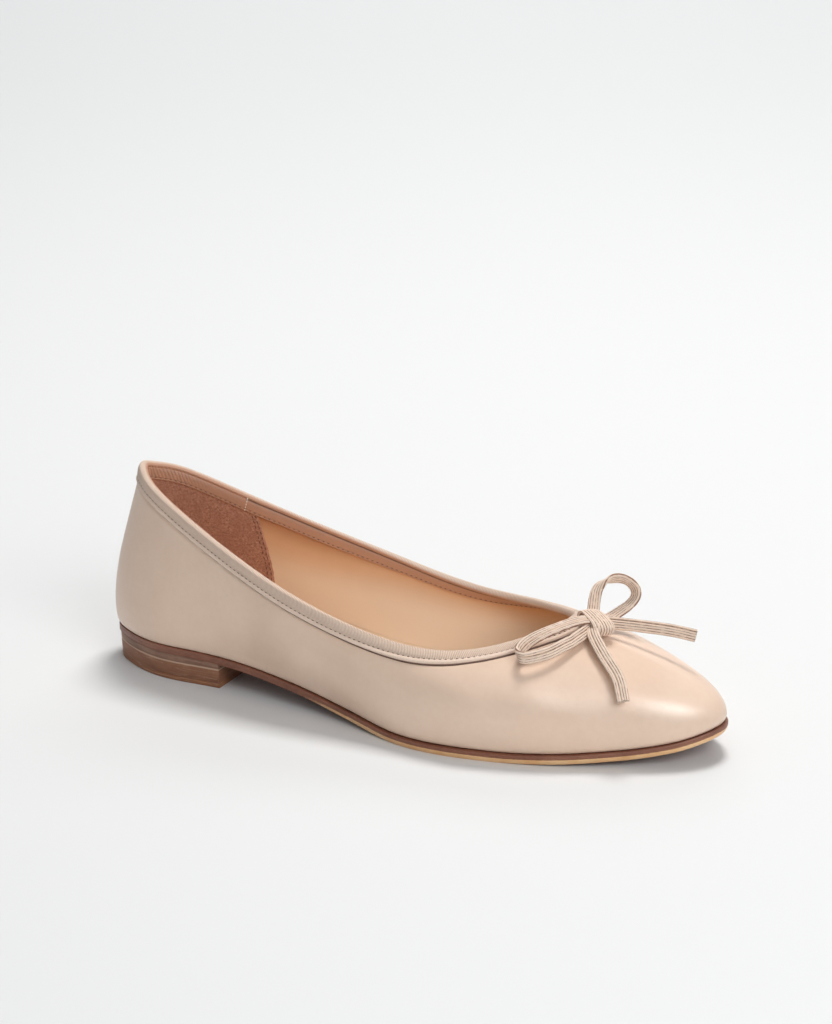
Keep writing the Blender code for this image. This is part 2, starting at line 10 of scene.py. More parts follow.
import bpy
import numpy as np
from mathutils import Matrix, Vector
from mathutils.bvhtree import BVHTree


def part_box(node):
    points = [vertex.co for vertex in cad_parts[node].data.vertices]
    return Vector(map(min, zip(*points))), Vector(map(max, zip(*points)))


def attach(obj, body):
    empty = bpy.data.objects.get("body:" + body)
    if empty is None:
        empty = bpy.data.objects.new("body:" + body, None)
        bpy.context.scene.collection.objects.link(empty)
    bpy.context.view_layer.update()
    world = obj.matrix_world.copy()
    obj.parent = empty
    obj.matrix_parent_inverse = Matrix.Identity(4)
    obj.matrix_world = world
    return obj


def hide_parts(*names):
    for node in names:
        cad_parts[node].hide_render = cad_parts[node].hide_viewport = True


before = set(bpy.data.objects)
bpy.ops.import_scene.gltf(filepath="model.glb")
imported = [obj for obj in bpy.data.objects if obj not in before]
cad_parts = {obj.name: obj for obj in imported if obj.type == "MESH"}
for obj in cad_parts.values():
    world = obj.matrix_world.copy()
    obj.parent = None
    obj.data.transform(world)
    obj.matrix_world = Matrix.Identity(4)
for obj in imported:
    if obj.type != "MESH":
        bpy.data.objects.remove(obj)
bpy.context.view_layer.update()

MM = 0.001

# Last and sole.
SOLE_LENGTH = 250 * MM
BALL_WIDTH = 80 * MM
HEEL_SEAT_HEIGHT = 13.5 * MM
BACK_HEIGHT = 62.5 * MM
TOE_SPRING = 9.3 * MM
SEAT_GAP = 0.3 * MM
UPPER_WALL = 1.4 * MM
LINING = 0.4 * MM
GLUE = 0.05 * MM
LASTING_MARGIN = 8 * MM
FEATHER_ROUNDING = 1.2 * MM
LOWEST_INSIDE = 0.14  # share of the way up the outer face, where the insole's edge is
BINDING_OUTER_LEG = 5.8 * MM
INSOLE_THICKNESS = 2.4 * MM
FOREPART_THICKNESS = 3.4 * MM
WAIST_THICKNESS = 2.7 * MM
SOLE_OVERHANG = 1.0 * MM
SOLE_EDGE_ROUNDING = 0.3 * MM
SOLE_BEVEL_WIDTH = 0.8 * MM
SOLE_BEVEL_HEIGHT = 1.7 * MM
HEEL_LENGTH = 54.5 * MM
HEEL_INSET = 0.3 * MM
HEEL_TAPER = 0.7 * MM
FIRST_LIFT_THICKNESS = 2.7 * MM
TOP_PIECE_THICKNESS = 1.8 * MM
CORD_WIDTH = 4.6 * MM
CORD_THICKNESS = 1.8 * MM
LOOP_REACH = 30 * MM
TAIL_REACH = 40 * MM
KNOT_SETBACK = 10 * MM
KNOT_ACROSS = -2 * MM
KNOT_WIDTH = 9 * MM
KNOT_LENGTH = 13.5 * MM
KNOT_HEIGHT = 5.8 * MM
KNOT_TURN = radians(32)
KNOT_END_SHRINK = 0.34
KNOT_ROUNDNESS = 0.75
CORD_CLEARANCE = 1.3 * MM

# The feather line in plan. along: share of SOLE_LENGTH. lateral, medial: shares of BALL_WIDTH.
FEATHER_PLAN = (
    # along, lateral, medial
    (0.00, 0.000, 0.000),
    (0.04, 0.165, 0.212),
    (0.12, 0.268, 0.337),
    (0.22, 0.275, 0.345),
    (0.34, 0.325, 0.320),
    (0.46, 0.410, 0.320),
    (0.58, 0.530, 0.410),
    (0.68, 0.525, 0.460),
    (0.78, 0.455, 0.425),
    (0.88, 0.325, 0.345),
    (0.95, 0.220, 0.225),
    (1.00, 0.000, 0.000),
)

# Height of the sole's top face. heel: share of the seat's rise. toe: share of TOE_SPRING.
SEAT_PROFILE = (
    # along, heel, toe
    (0.00, 1.00, 0.00),
    (0.14, 1.00, 0.00),
    (0.24, 0.89, 0.00),
    (0.35, 0.62, 0.00),
    (0.46, 0.22, 0.00),
    (0.56, 0.00, 0.00),
    (0.70, 0.00, 0.00),
    (0.78, 0.00, 0.06),
    (0.88, 0.00, 0.28),
    (0.95, 0.00, 0.61),
    (1.00, 0.00, 1.00),
)

# Outsole along its length. thick: share of the way from waist to forepart thickness.
SOLE_SHAPE = (
    # along, thick, overhang, bevel
    (0.00, 0.00, -0.3, 0.15),
    (0.24, 0.00, 0.00, 0.15),
    (0.38, 0.30, 0.40, 0.40),
    (0.52, 1.00, 0.90, 1.00),
    (0.85, 1.00, 1.00, 1.00),
    (1.00, 1.00, 0.60, 0.80),
)

# Ribs of the upper, from the feather line up to the topline. foot, top: shares of SOLE_LENGTH.
# lateral, medial: shares of BALL_WIDTH. height, rise, reach: shares of BACK_HEIGHT.
# flare, lean: degrees.
UPPER_RIBS = (
    # foot, top, lateral, medial, height, rise, flare, reach, lean
    (0.00, 0.045, 0.000, 0.000, 1.030, 0.28, 12.5, 0.41, 15),
    (0.02, 0.058, 0.080, 0.080, 1.005, 0.28, 13.0, 0.41, 9),
    (0.06, 0.086, 0.158, 0.158, 0.960, 0.27, 14.0, 0.40, 3),
    (0.15, 0.167, 0.255, 0.255, 0.820, 0.24, 15.0, 0.35, 0),
    (0.30, 0.297, 0.362, 0.362, 0.619, 0.20, 19.0, 0.27, 2),
    (0.45, 0.405, 0.418, 0.418, 0.484, 0.18, 21.0, 0.15, 14),
    (0.60, 0.530, 0.430, 0.430, 0.370, 0.18, 21.0, 0.15, 42),
    (0.72, 0.632, 0.390, 0.390, 0.352, 0.20, 20.0, 0.32, 70),
    (0.85, 0.722, 0.198, 0.198, 0.423, 0.22, 16.0, 0.43, 74),
    (0.95, 0.755, 0.080, 0.080, 0.468, 0.23, 12.0, 0.54, 71),
    (1.00, 0.760, 0.000, 0.000, 0.480, 0.23, 10.0, 0.59, 70),
)

# Cords of the bow: shares of their reach from the knot's middle, and the way of their width.
LATERAL_LOOP = (
    # forward, across, up, wide_forward, wide_across, wide_up
    (-0.02, -0.04, 0.05, -0.70, 0.63, 0.34),
    (-0.17, -0.23, 0.06, -0.78, 0.56, 0.27),
    (-0.37, -0.50, 0.01, -0.80, 0.50, 0.32),
    (-0.54, -0.71, -0.07, -0.76, 0.32, 0.52),
    (-0.62, -0.85, -0.15, -0.60, -0.12, 0.76),
    (-0.61, -0.94, -0.19, -0.12, -0.48, 0.86),
    (-0.54, -0.99, -0.20, 0.20, -0.10, 0.97),
    (-0.44, -0.93, -0.20, -0.20, 0.15, 0.96),
    (-0.29, -0.78, -0.17, -0.42, 0.12, 0.89),
    (-0.17, -0.58, -0.12, -0.52, 0.05, 0.85),
    (-0.07, -0.33, -0.09, -0.56, 0.00, 0.83),
    (-0.02, -0.10, -0.07, -0.56, 0.00, 0.83),
)
MEDIAL_LOOP = (
    # forward, across, up, wide_forward, wide_across, wide_up
    (-0.07, 0.08, 0.02, -0.99, -0.12, 0.07),
    (-0.12, 0.18, 0.08, -0.98, -0.17, 0.13),
    (-0.14, 0.27, 0.21, -0.97, -0.06, 0.13),
    (-0.12, 0.37, 0.33, -0.82, 0.57, 0.06),
    (0.01, 0.48, 0.41, -0.19, 0.50, -0.84),
    (0.16, 0.58, 0.37, -0.55, 0.37, -0.74),
    (0.25, 0.62, 0.25, -0.87, 0.25, -0.43),
    (0.24, 0.56, 0.13, -0.91, 0.39, -0.01),
    (0.15, 0.42, 0.04, -0.76, 0.56, 0.33),
    (0.06, 0.27, -0.02, -0.74, 0.52, 0.41),
    (0.00, 0.10, -0.04, -0.74, 0.52, 0.41),
)
LATERAL_TAIL = (
    # forward, across, up, wide_forward, wide_across, wide_up
    (0.01, -0.08, 0.00, 0.74, 0.54, 0.42),
    (0.04, -0.18, -0.03, 0.74, 0.54, 0.42),
    (0.13, -0.28, -0.09, 0.74, 0.54, 0.42),
    (0.23, -0.36, -0.16, 0.74, 0.54, 0.42),
    (0.34, -0.44, -0.23, 0.74, 0.54, 0.42),
    (0.44, -0.52, -0.31, 0.74, 0.54, 0.42),
    (0.53, -0.63, -0.45, 0.74, 0.54, 0.42),
)
MEDIAL_TAIL = (
    # forward, across, up, wide_forward, wide_across, wide_up
    (0.02, 0.04, -0.01, -0.15, 0.32, 0.93),
    (0.20, 0.14, -0.03, -0.15, 0.32, 0.93),
    (0.42, 0.22, -0.05, -0.15, 0.32, 0.93),
    (0.64, 0.28, -0.07, -0.15, 0.32, 0.93),
    (0.84, 0.32, -0.10, -0.15, 0.32, 0.93),
)

# Soft troughs and ridges of the upper. x, y, z: middle in mm. run_x, run_z: way that the crease
# runs. long, wide: reach in mm. depth: in mm, inward, and below zero for a ridge.
CREASES = (
    # x, y, z, run_x, run_z, long, wide, depth
    (70, -30, 24, 0.25, 1.00, 24, 11, 0.9),
    (92, -31, 20, 0.30, 1.00, 20, 9, -0.5),
    (112, -36, 25, 1.00, -0.30, 32, 7, 0.8),
    (120, -38, 13, 1.00, -0.20, 34, 6, -0.5),
    (176, -38, 24, 0.80, -0.50, 16, 6, 0.45),
    (188, -34, 28, 0.85, -0.45, 14, 5, -0.35),
    (70, 29, 22, 0.30, 1.00, 22, 9, 0.45),
    (110, 30, 22, 1.00, -0.20, 30, 6, 0.35),
    (176, 34, 22, 0.80, -0.50, 16, 6, 0.25),
)

# Front edge of the heel grip: x against height, in mm.
GRIP_EDGE = (
    # height, x
    (14, 53.0),
    (32, 52.8),
    (41, 51.8),
    (47, 50.8),
    (54, 49.4),
    (60, 46.9),
    (70, 42.0),
)
GRIP_THICKNESS = 0.55 * MM
BINDING_JOIN = 45.5 * MM

# Section of the binding's outer leg: distance down from the rim and height over the leather, mm.
BINDING_OUTER = (
    # down, height
    (0.0, 0.70),
    (0.9, 0.92),
    (2.0, 0.98),
    (3.0, 0.86),
    (3.55, 0.62),
    (3.95, 0.36),
    (4.35, 0.60),
    (4.9, 0.84),
    (5.4, 0.84),
    (5.7, 0.62),
    (5.85, 0.20),
    (5.90, -0.02),
    (6.10, -0.34),
    (6.50, -0.24),
)
# Section of the binding's inner leg. down: share of the leg's width. height: in mm.
BINDING_INNER = (
    # down, height
    (0.00, 0.70),
    (0.10, 0.62),
    (0.17, 0.34),
    (0.24, 0.66),
    (0.36, 0.86),
    (0.60, 0.84),
    (0.76, 0.80),
    (0.84, 0.62),
    (0.91, 0.72),
    (0.96, 0.64),
    (0.99, 0.35),
    (1.00, -0.05),
)
# Width of the inner leg along the shoe, in mm.
INNER_LEG = (
    # x, width
    (0, 6.2),
    (60, 6.0),
    (110, 6.4),
    (150, 8.0),
    (180, 10.5),
    (200, 11.5),
)
STITCH_PITCH = 2.05 * MM
OUTER_STITCH_DROP = 3.95 * MM
INNER_STITCH_SHARE = 0.84
RIM_RISE = 0.55
PLEAT_PITCH = 1.6 * MM

CORD_RIBS = 5
RIB_DEPTH = 0.24 * MM
POINTS_A_RIB = 8
SLIT_DEPTH = 0.55 * MM
KNOT_RIBS = 8
KNOT_RIB_DEPTH = 0.36 * MM
# Hollow in each end of the knot: share of the end's size and depth in mm.
KNOT_CAP = ((0.82, 0.25), (0.66, 0.7), (0.5, 2.2))

CAMERA_PLACE = np.array([630.713, -1038.706, 461.541]) * MM
CAMERA_TARGET = np.array([119.526, 15.813, 68.966]) * MM
CAMERA_LENS = 116.24
FLOOR_GAP = 0.02 * MM

# Mesh fineness, and the angle in degrees from which an edge looks sharp.
AROUND = 768
UPPER_ROWS = 84
INSIDE_ROWS = 24
WALL_ROWS = 40
GRIP_WALL_ROWS = 60
GRIP_ROWS = 44
GRIP_COLUMNS = 150
TAPE_AROUND = 1240
HEEL_AROUND = 260
PLAIN_RING = 96
CRISP = 50


def even_curve(knots, values, at, period=None):
    """A cubic curve with even curvature through the values, closed if a period is given."""
    knots = np.asarray(knots, float)
    values = np.asarray(values, float).reshape(len(knots), -1)
    if period is not None:
        knots = np.append(knots, knots[0] + period)
        values = np.vstack([values, values[:1]])
    step = np.diff(knots)
    rise = np.diff(values, axis=0) / step[:, None]
    count = len(knots)
    system = np.eye(count)
    right = np.zeros_like(values)
    for i in range(1, count - 1):
        system[i, i - 1 : i + 2] = step[i - 1], 2 * (step[i - 1] + step[i]), step[i]
        right[i] = 6 * (rise[i] - rise[i - 1])
    if period is not None:
        system[0, -1] = -1
        system[-1, 0] += 2 * step[0]
        system[-1, 1] += step[0]
        system[-1, -2] += step[-1]
        system[-1, -1] = 2 * step[-1]
        right[-1] = 6 * (rise[0] - rise[-1])
    bend = np.linalg.solve(system, right)
    at = np.atleast_1d(np.asarray(at, float))
    if period is not None:
        at = (at - knots[0]) % period + knots[0]
    i = np.clip(np.searchsorted(knots, at, "right") - 1, 0, count - 2)
    wide = step[i][:, None]
    before = (at - knots[i])[:, None]
    after = wide - before
    ends = bend[i] * after**3 + bend[i + 1] * before**3
    left = values[i] / wide - bend[i] * wide / 6
    over = values[i + 1] / wide - bend[i + 1] * wide / 6
    return ends / (6 * wide) + left * after + over * before


def steady_curve(table, along):
    """A smooth curve through a table's rows that never swings past its values."""
    table = np.asarray(table, float)
    knots, values = table[:, 0], table[:, 1:]
    step = np.diff(knots)[:, None]
    rise = np.diff(values, axis=0) / step
    slope = np.zeros_like(values)
    both = rise[:-1] * rise[1:]
    mean = 2 * both / np.where(both > 0, rise[:-1] + rise[1:], 1)
    slope[1:-1] = np.where(both > 0, mean, 0)
    slope[-1] = rise[-1]
    along = np.clip(np.atleast_1d(np.asarray(along, float)), knots[0], knots[-1])
    i = np.clip(np.searchsorted(knots, along, "right") - 1, 0, len(step) - 1)
    t = ((along - knots[i])[:, None]) / step[i]
    rising = t * t * (3 - 2 * t)
    swing = t * (1 - t) * step[i]
    level = values[i] * (1 - rising) + values[i + 1] * rising
    return level + swing * ((1 - t) * slope[i] - t * slope[i + 1])


def foot_angle(along):
    """The angle round the feather line at a share of the sole's length, on the lateral side."""
    return np.arccos(1 - 2 * np.asarray(along, float))


def around(rows, lateral_values, medial_values):
    """A table of both sides as one closed run: lateral side out, medial side back."""
    there = [foot_angle(row[0]) for row in rows]
    back = [2 * pi - foot_angle(row[0]) for row in rows[-2:0:-1]]
    values = [lateral_values(row) for row in rows] + [medial_values(row) for row in rows[-2:0:-1]]
    return np.array(there + back), np.array(values, float)


def seat_height(x):
    """Height of the outsole's top face at a place along the shoe."""
    heel, toe = steady_curve(SEAT_PROFILE, x / SOLE_LENGTH).T
    return FOREPART_THICKNESS + heel * (HEEL_SEAT_HEIGHT - FOREPART_THICKNESS) + toe * TOE_SPRING


def sole_shape(x):
    """Thickness, overhang and share of the bevel at a place along the shoe."""
    thick, overhang, bevel = steady_curve(SOLE_SHAPE, x / SOLE_LENGTH).T
    thickness = WAIST_THICKNESS + thick * (FOREPART_THICKNESS - WAIST_THICKNESS)
    return thickness, overhang * SOLE_OVERHANG, bevel


def feather_line(angle):
    """Points of the feather line, on the outsole's top face."""
    knots, halves = around(FEATHER_PLAN, lambda row: -row[1], lambda row: row[2])
    y = even_curve(knots, halves, angle, 2 * pi)[:, 0] * BALL_WIDTH
    x = (1 - np.cos(angle)) / 2 * SOLE_LENGTH
    return np.stack([x, y, seat_height(x)], -1)


def level_outward(ring):
    """Level unit vectors that point out of a closed ring of points."""
    run = np.roll(ring, -1, 0) - np.roll(ring, 1, 0)
    out = np.stack([run[:, 1], -run[:, 0], 0 * run[:, 0]], -1)
    return out / np.linalg.norm(out, axis=1)[:, None]


def unit(vectors):
    """Vectors of length 1."""
    return vectors / np.linalg.norm(vectors, axis=-1)[..., None]


def rib_handles(angle):
    """The four control points of each rib of the upper."""
    foot = feather_line(angle)
    foot[:, 2] += SEAT_GAP
    knots, columns = around(
        UPPER_RIBS,
        lambda row: (row[1], -row[2], *row[4:]),
        lambda row: (row[1], row[3], *row[4:]),
    )
    shares = even_curve(knots, columns, angle, 2 * pi).T[:, :, None]
    along, half, height, rise, flare, reach, lean = shares
    level = HEEL_SEAT_HEIGHT + height * BACK_HEIGHT
    top = np.hstack([along * SOLE_LENGTH, half * BALL_WIDTH, level])
    flare, lean = np.radians(flare), np.radians(lean)
    up = np.array([0.0, 0.0, 1.0])
    low = np.cos(flare) * up + np.sin(flare) * level_outward(foot)
    high = np.sin(lean) * level_outward(top) - np.cos(lean) * up
    return foot, foot + rise * BACK_HEIGHT * low, top + reach * BACK_HEIGHT * high, top


def outer_face(angle, share):
    """Points, outward normals and climb of the outer face, feather line (0) to topline (1)."""
    p0, p1, p2, p3 = rib_handles(angle)
    s = np.asarray(share, float)[:, None, None]
    r = 1 - s
    points = r**3 * p0 + 3 * s * r**2 * p1 + 3 * s**2 * r * p2 + s**3 * p3
    climb = r**2 * (p1 - p0) + 2 * s * r * (p2 - p1) + s**2 * (p3 - p2)
    run = np.roll(points, -1, 1) - np.roll(points, 1, 1)
    return points, unit(np.cross(run, climb)), unit(climb)


def resample(grid, reach, distances):
    """Rows of a grid at distances, column by column."""
    rows = np.empty((len(distances), grid.shape[1], 3))
    for column in range(grid.shape[1]):
        for axis in range(3):
            rows[:, column, axis] = np.interp(distances, reach[:, column], grid[:, column, axis])
    return rows


def faces_at(angle, distances):
    """Points, outward normals and climb of the outer face at distances down from the topline."""
    points, normals, climbs = outer_face(angle, np.linspace(1, 0, 120))
    steps = np.linalg.norm(np.diff(points, axis=0), axis=2)
    reach = np.vstack([np.zeros(len(angle)), np.cumsum(steps, axis=0)])
    found = [resample(grid, reach, distances) for grid in (points, normals, climbs)]
    return found[0], unit(found[1]), unit(found[2])


def inset_ring(angle, inset, lift):
    """The feather line moved inward, at a height over the outsole's top face."""
    ring = feather_line(angle)
    ring = ring - inset * level_outward(ring)
    ring[:, 2] = seat_height(ring[:, 0]) + lift
    return ring


def sole_ring(angle, inset, drop, fall=0.0, bevel_inset=0.0, bevel_lift=0.0):
    """A ring of the outsole's edge. drop: share of the thickness below the top face."""
    ring = feather_line(angle)
    _, overhang, bevel = sole_shape(ring[:, 0])
    ring = ring + (overhang - inset - bevel_inset * bevel)[:, None] * level_outward(ring)
    thickness, _, bevel = sole_shape(ring[:, 0])
    ring[:, 2] = seat_height(ring[:, 0]) - drop * thickness - fall + bevel_lift * bevel
    return ring


def angles(count):
    """Even angles round the shoe."""
    return np.linspace(0, 2 * pi, count, endpoint=False)


def frame_shift():
    """From the shoe's own coordinates to the part's frame, read from the outsole's box."""
    edge = sole_ring(angles(PLAIN_RING), 0, 0, fall=SOLE_EDGE_ROUNDING)
    low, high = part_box("outsole")
    middle = (edge.min(axis=0) + edge.max(axis=0)) / 2
    return np.array([(low[0] + high[0]) / 2 - middle[0], (low[1] + high[1]) / 2 - middle[1], 0.0])


SHIFT = frame_shift()


# Materials. Leather, cord, tape, thread and rubber are no metals, and their IOR is about 1.5.


def srgb(code):
    """Linear red, green and blue of a screen colour."""
    parts = [int(code[i : i + 2], 16) / 255 for i in (1, 3, 5)]
    return tuple(c / 12.92 if c <= 0.04045 else ((c + 0.055) / 1.055) ** 2.4 for c in parts)


class Shader:
    """A Principled material with the node recipes that the materials share."""

    def __init__(self, name, colour, roughness, **settings):
        self.material = bpy.data.materials.new(name)
        self.material.use_nodes = True
        self.material.diffuse_color = (*srgb(colour), 1)
        self.tree = self.material.node_tree
        self.inputs = self.tree.nodes["Principled BSDF"].inputs
        self.inputs["Base Color"].default_value = (*srgb(colour), 1)
        for socket, value in {"Roughness": roughness, "IOR": 1.5, **settings}.items():
            self.inputs[socket.replace("_", " ")].default_value = value
        self.places = self.node("ShaderNodeTexCoord").outputs

    def node(self, kind, links=None, **settings):
        """A node with its settings and its links: socket name or number to a source or a value."""
        node = self.tree.nodes.new(kind)
        for key, value in settings.items():
            setattr(node, key, value)
        for socket, source in (links or {}).items():
            if isinstance(source, bpy.types.NodeSocket):
                self.tree.links.new(source, node.inputs[socket])
            else:
                node.inputs[socket].default_value = source
        return node

    def patches(self, size, detail=2.0, rough=0.5, stretch=(1, 1, 1)):
        """Uneven patches from 0 to 1, of a size in metres: mapping and noise."""
        mapping = self.node("ShaderNodeMapping", {0: self.places["Object"], "Scale": stretch})
        links = {"Vector": mapping.outputs[0], "Scale": 1 / size}
        links.update({"Detail": detail, "Roughness": rough})
        return self.node("ShaderNodeTexNoise", links).outputs[0]

    def painted(self, colour, *coats):
        """A colour under coats of others: a ramp and a mix for each.

        coat: source, its values where the coat starts and where it is full, most, colour.
        """
        colours = [colour] + [coat[4] for coat in coats]
        under, *tops = [(*srgb(c), 1) if isinstance(c, str) else c for c in colours]
        for (source, start, full, most, _), top in zip(coats, tops):
            links = {"Value": source, "From Min": start, "From Max": full, "To Max": most}
            share = self.node("ShaderNodeMapRange", links, interpolation_type="SMOOTHSTEP")
            links = {0: share.outputs[0], 6: under, 7: top}
            under = self.node("ShaderNodeMix", links, data_type="RGBA").outputs[2]
        return under

    def waves(self, along, across, slant, pitch):
        """Waves from -1 to 1 along a piece, slanted by a share of the place across it."""
        links = {0: across, 1: slant, 2: along}
        place = self.node("ShaderNodeMath", links, operation="MULTIPLY_ADD")
        links = {0: place.outputs[0], 1: 2 * pi / pitch}
        turns = self.node("ShaderNodeMath", links, operation="MULTIPLY")
        return self.node("ShaderNodeMath", {0: turns.outputs[0]}, operation="SINE").outputs[0]

    def far_from(self, source, middle):
        """How far a value is from a middle one: difference and its size."""
        offset = self.node("ShaderNodeMath", {0: source, 1: middle}, operation="SUBTRACT")
        return self.node("ShaderNodeMath", {0: offset.outputs[0]}, operation="ABSOLUTE").outputs[0]

    def finish(self, colour, *reliefs, rough=None):
        """Links the colour, the reliefs over each other and an uneven roughness.

        relief: source, height in metres, strength. rough: source, least, most.
        """
        if colour is not None:
            self.tree.links.new(colour, self.inputs["Base Color"])
        under = {}
        for source, height, strength in reliefs:
            links = {"Height": source, "Distance": height, "Strength": strength, **under}
            under = {"Normal": self.node("ShaderNodeBump", links).outputs[0]}
        self.tree.links.new(under["Normal"], self.inputs["Normal"])
        if rough is not None:
            links = {"Value": rough[0], "From Min": 0.3, "From Max": 0.7}
            links.update({"To Min": rough[1], "To Max": rough[2]})
            uneven = self.node("ShaderNodeMapRange", links, interpolation_type="SMOOTHSTEP")
            self.tree.links.new(uneven.outputs[0], self.inputs["Roughness"])
        return self.material


def calf_leather():
    """Calf leather, dyed through and sprayed with a soft clear finish.

    The eye sees an even nude tone with faint clouds and a broad, soft shine. The pores, of about
    0.1 mm, are too fine to show and are drawn at 0.55 mm.
    """
    shader = Shader("smooth_nude_calf", "#e3c5ae", 0.42, Coat_Weight=0.5, Coat_Roughness=0.32)
    cloud = shader.patches(38 * MM, detail=3)
    fine = shader.patches(2.2 * MM, detail=4)
    tone = shader.painted(
        "#e2c5ae", (cloud, 0.35, 0.65, 1, "#e7ccb6"), (fine, 0.3, 0.7, 0.08, "#cfa98e")
    )
    links = {"Vector": shader.places["Object"], "Scale": 1 / (0.55 * MM)}
    grain = shader.node("ShaderNodeTexVoronoi", links).outputs["Distance"]
    ripples = shader.patches(1.6 * MM, detail=3)
    reliefs = (grain, 0.012 * MM, 1), (ripples, 0.03 * MM, 1)
    return shader.finish(tone, *reliefs, rough=(cloud, 0.41, 0.48))


def lining_leather():
    """Goat lining leather, tanned tan and left without a finish.

    The eye sees a matt warm brown. Its paler colour low on the wall is painted light, where the
    insole lights it, and its darker band high up is painted shade under the tape. Its grain of 0.2
    mm is drawn at 0.5 mm. The heights are places across the piece, 1 mm a row.
    """
    shader = Shader("tan_lining_leather", "#d29a6c", 0.5)
    cloud = shader.patches(14 * MM, detail=4)
    height = shader.node("ShaderNodeSeparateXYZ", {0: shader.places["UV"]}).outputs[1]
    # Painted light and shade: paler low on the wall as light from the insole, darker high up as
    # shade under the tape.
    wall = shader.painted(
        "#dcaa7f", (cloud, 0.3, 0.75, 1, "#e1b188"), (height, 28 * MM, 38 * MM, 1, "#a9693f")
    )
    tone = shader.painted("#f3d8bb", (height, 14 * MM, 32 * MM, 1, wall))
    return shader.finish(tone, (shader.patches(0.5 * MM, detail=3), 0.03 * MM, 1))


def insole_leather():
    """Sheep leather of the sock, tanned pale and polished by hand.

    The eye sees a matt pale tan with faint rubbed marks along the shoe. Its grain of 0.2 mm is
    drawn at 0.6 mm.
    """
    shader = Shader("tan_insole_leather", "#e8c4a2", 0.5, Coat_Weight=0.05, Coat_Roughness=0.4)
    cloud = shader.patches(22 * MM, detail=4)
    streak = shader.patches(3 * MM, detail=5, stretch=(0.25, 1, 1))
    tone = shader.painted(
        "#e9c8a4", (cloud, 0.3, 0.75, 1, "#edd0ae"), (streak, 0.62, 0.78, 0.15, "#f0d3b2")
    )
    grain = shader.patches(0.6 * MM, detail=4)
    return shader.finish(tone, (grain, 0.03 * MM, 1), (streak, 0.05 * MM, 1))


def grip_suede():
    """Pig suede, sanded to a short nap and brushed.

    The eye sees dull brown tufts and patches without any shine. The nap, of about 0.2 mm, is drawn
    at 0.9 mm.
    """
    shader = Shader("brown_suede", "#a8735a", 0.95, Sheen_Weight=0.25, Sheen_Roughness=0.5)
    nap = shader.patches(0.9 * MM, detail=6, rough=0.8)
    patch = shader.patches(5 * MM, detail=3)
    tone = shader.painted(
        "#8f5a42", (nap, 0.3, 0.7, 1, "#d09c80"), (patch, 0.35, 0.65, 0.5, "#a8715a")
    )
    return shader.finish(tone, (nap, 0.12 * MM, 1))


def binding_tape():
    """Grosgrain of rayon, woven with a rib of 0.62 mm and folded over the edge.

    The eye sees short matt ribs across a nude band, their grooves darker with painted shade; a
    plain lip, a little paler as a painted highlight, with a painted shadow line under it; and a
    plainer inside, browner with painted shade that has a warm tint of light from the lining, with a
    painted shade line at its fold in front of the join. The yarn, of about 0.1 mm, is drawn at 0.3
    mm.
    """
    shader = Shader("ribbed_tape", "#e0c9b6", 0.62, Sheen_Weight=0.12, Sheen_Roughness=0.4)
    along, across, _ = shader.node("ShaderNodeSeparateXYZ", {0: shader.places["UV"]}).outputs
    forward = shader.node("ShaderNodeSeparateXYZ", {0: shader.places["Object"]}).outputs[0]
    rib = shader.waves(along, across, 0.25, 0.62 * MM)
    yarn = shader.patches(0.30 * MM, detail=3, rough=0.6)
    # Painted shade darkens the grooves between the ribs. The lip's paler colour is a painted
    # highlight, the dark line under it a painted shadow, and the inside's browner colour painted
    # shade.
    tone = shader.painted(
        "#c9ab94",
        (rib, -1, 0.4, 1, "#e8d3c1"),
        (across, -3.8 * MM, -4.2 * MM, 1, "#ead4c2"),
        (across, -5.8 * MM, -5.95 * MM, 1, "#62453a"),
        (across, 1.2 * MM, 2.1 * MM, 1, "#c19074"),
        (yarn, 0.35, 0.7, 0.3, "#bf9c86"),
    )
    # Painted shade: a dark line along the inside's fold, in front of the join.
    fold_shade_in_front = shader.painted(tone, (forward, -80 * MM, -78 * MM, 1, "#6b4a38"))
    fold = shader.far_from(across, 3.2 * MM)
    tone = shader.painted(tone, (fold, 0.5 * MM, 0.1 * MM, 0.85, fold_shade_in_front))
    plain_parts = [
        shader.node(
            "ShaderNodeMapRange",
            {"Value": across, "From Min": start * MM, "From Max": full * MM},
            interpolation_type="SMOOTHSTEP",
        ).outputs[0]
        for start, full in ((1.2, 2.1), (-3.8, -4.2))
    ]
    plain = shader.node("ShaderNodeMath", dict(enumerate(plain_parts))).outputs[0]
    links = {"Value": plain, "To Min": 1.0, "To Max": 0.12}
    ribbed = shader.node("ShaderNodeMapRange", links, interpolation_type="SMOOTHSTEP").outputs[0]
    relief = shader.node("ShaderNodeMath", {0: rib, 1: ribbed}, operation="MULTIPLY").outputs[0]
    return shader.finish(tone, (relief, 0.07 * MM, 0.9), (yarn, 0.05 * MM, 1))


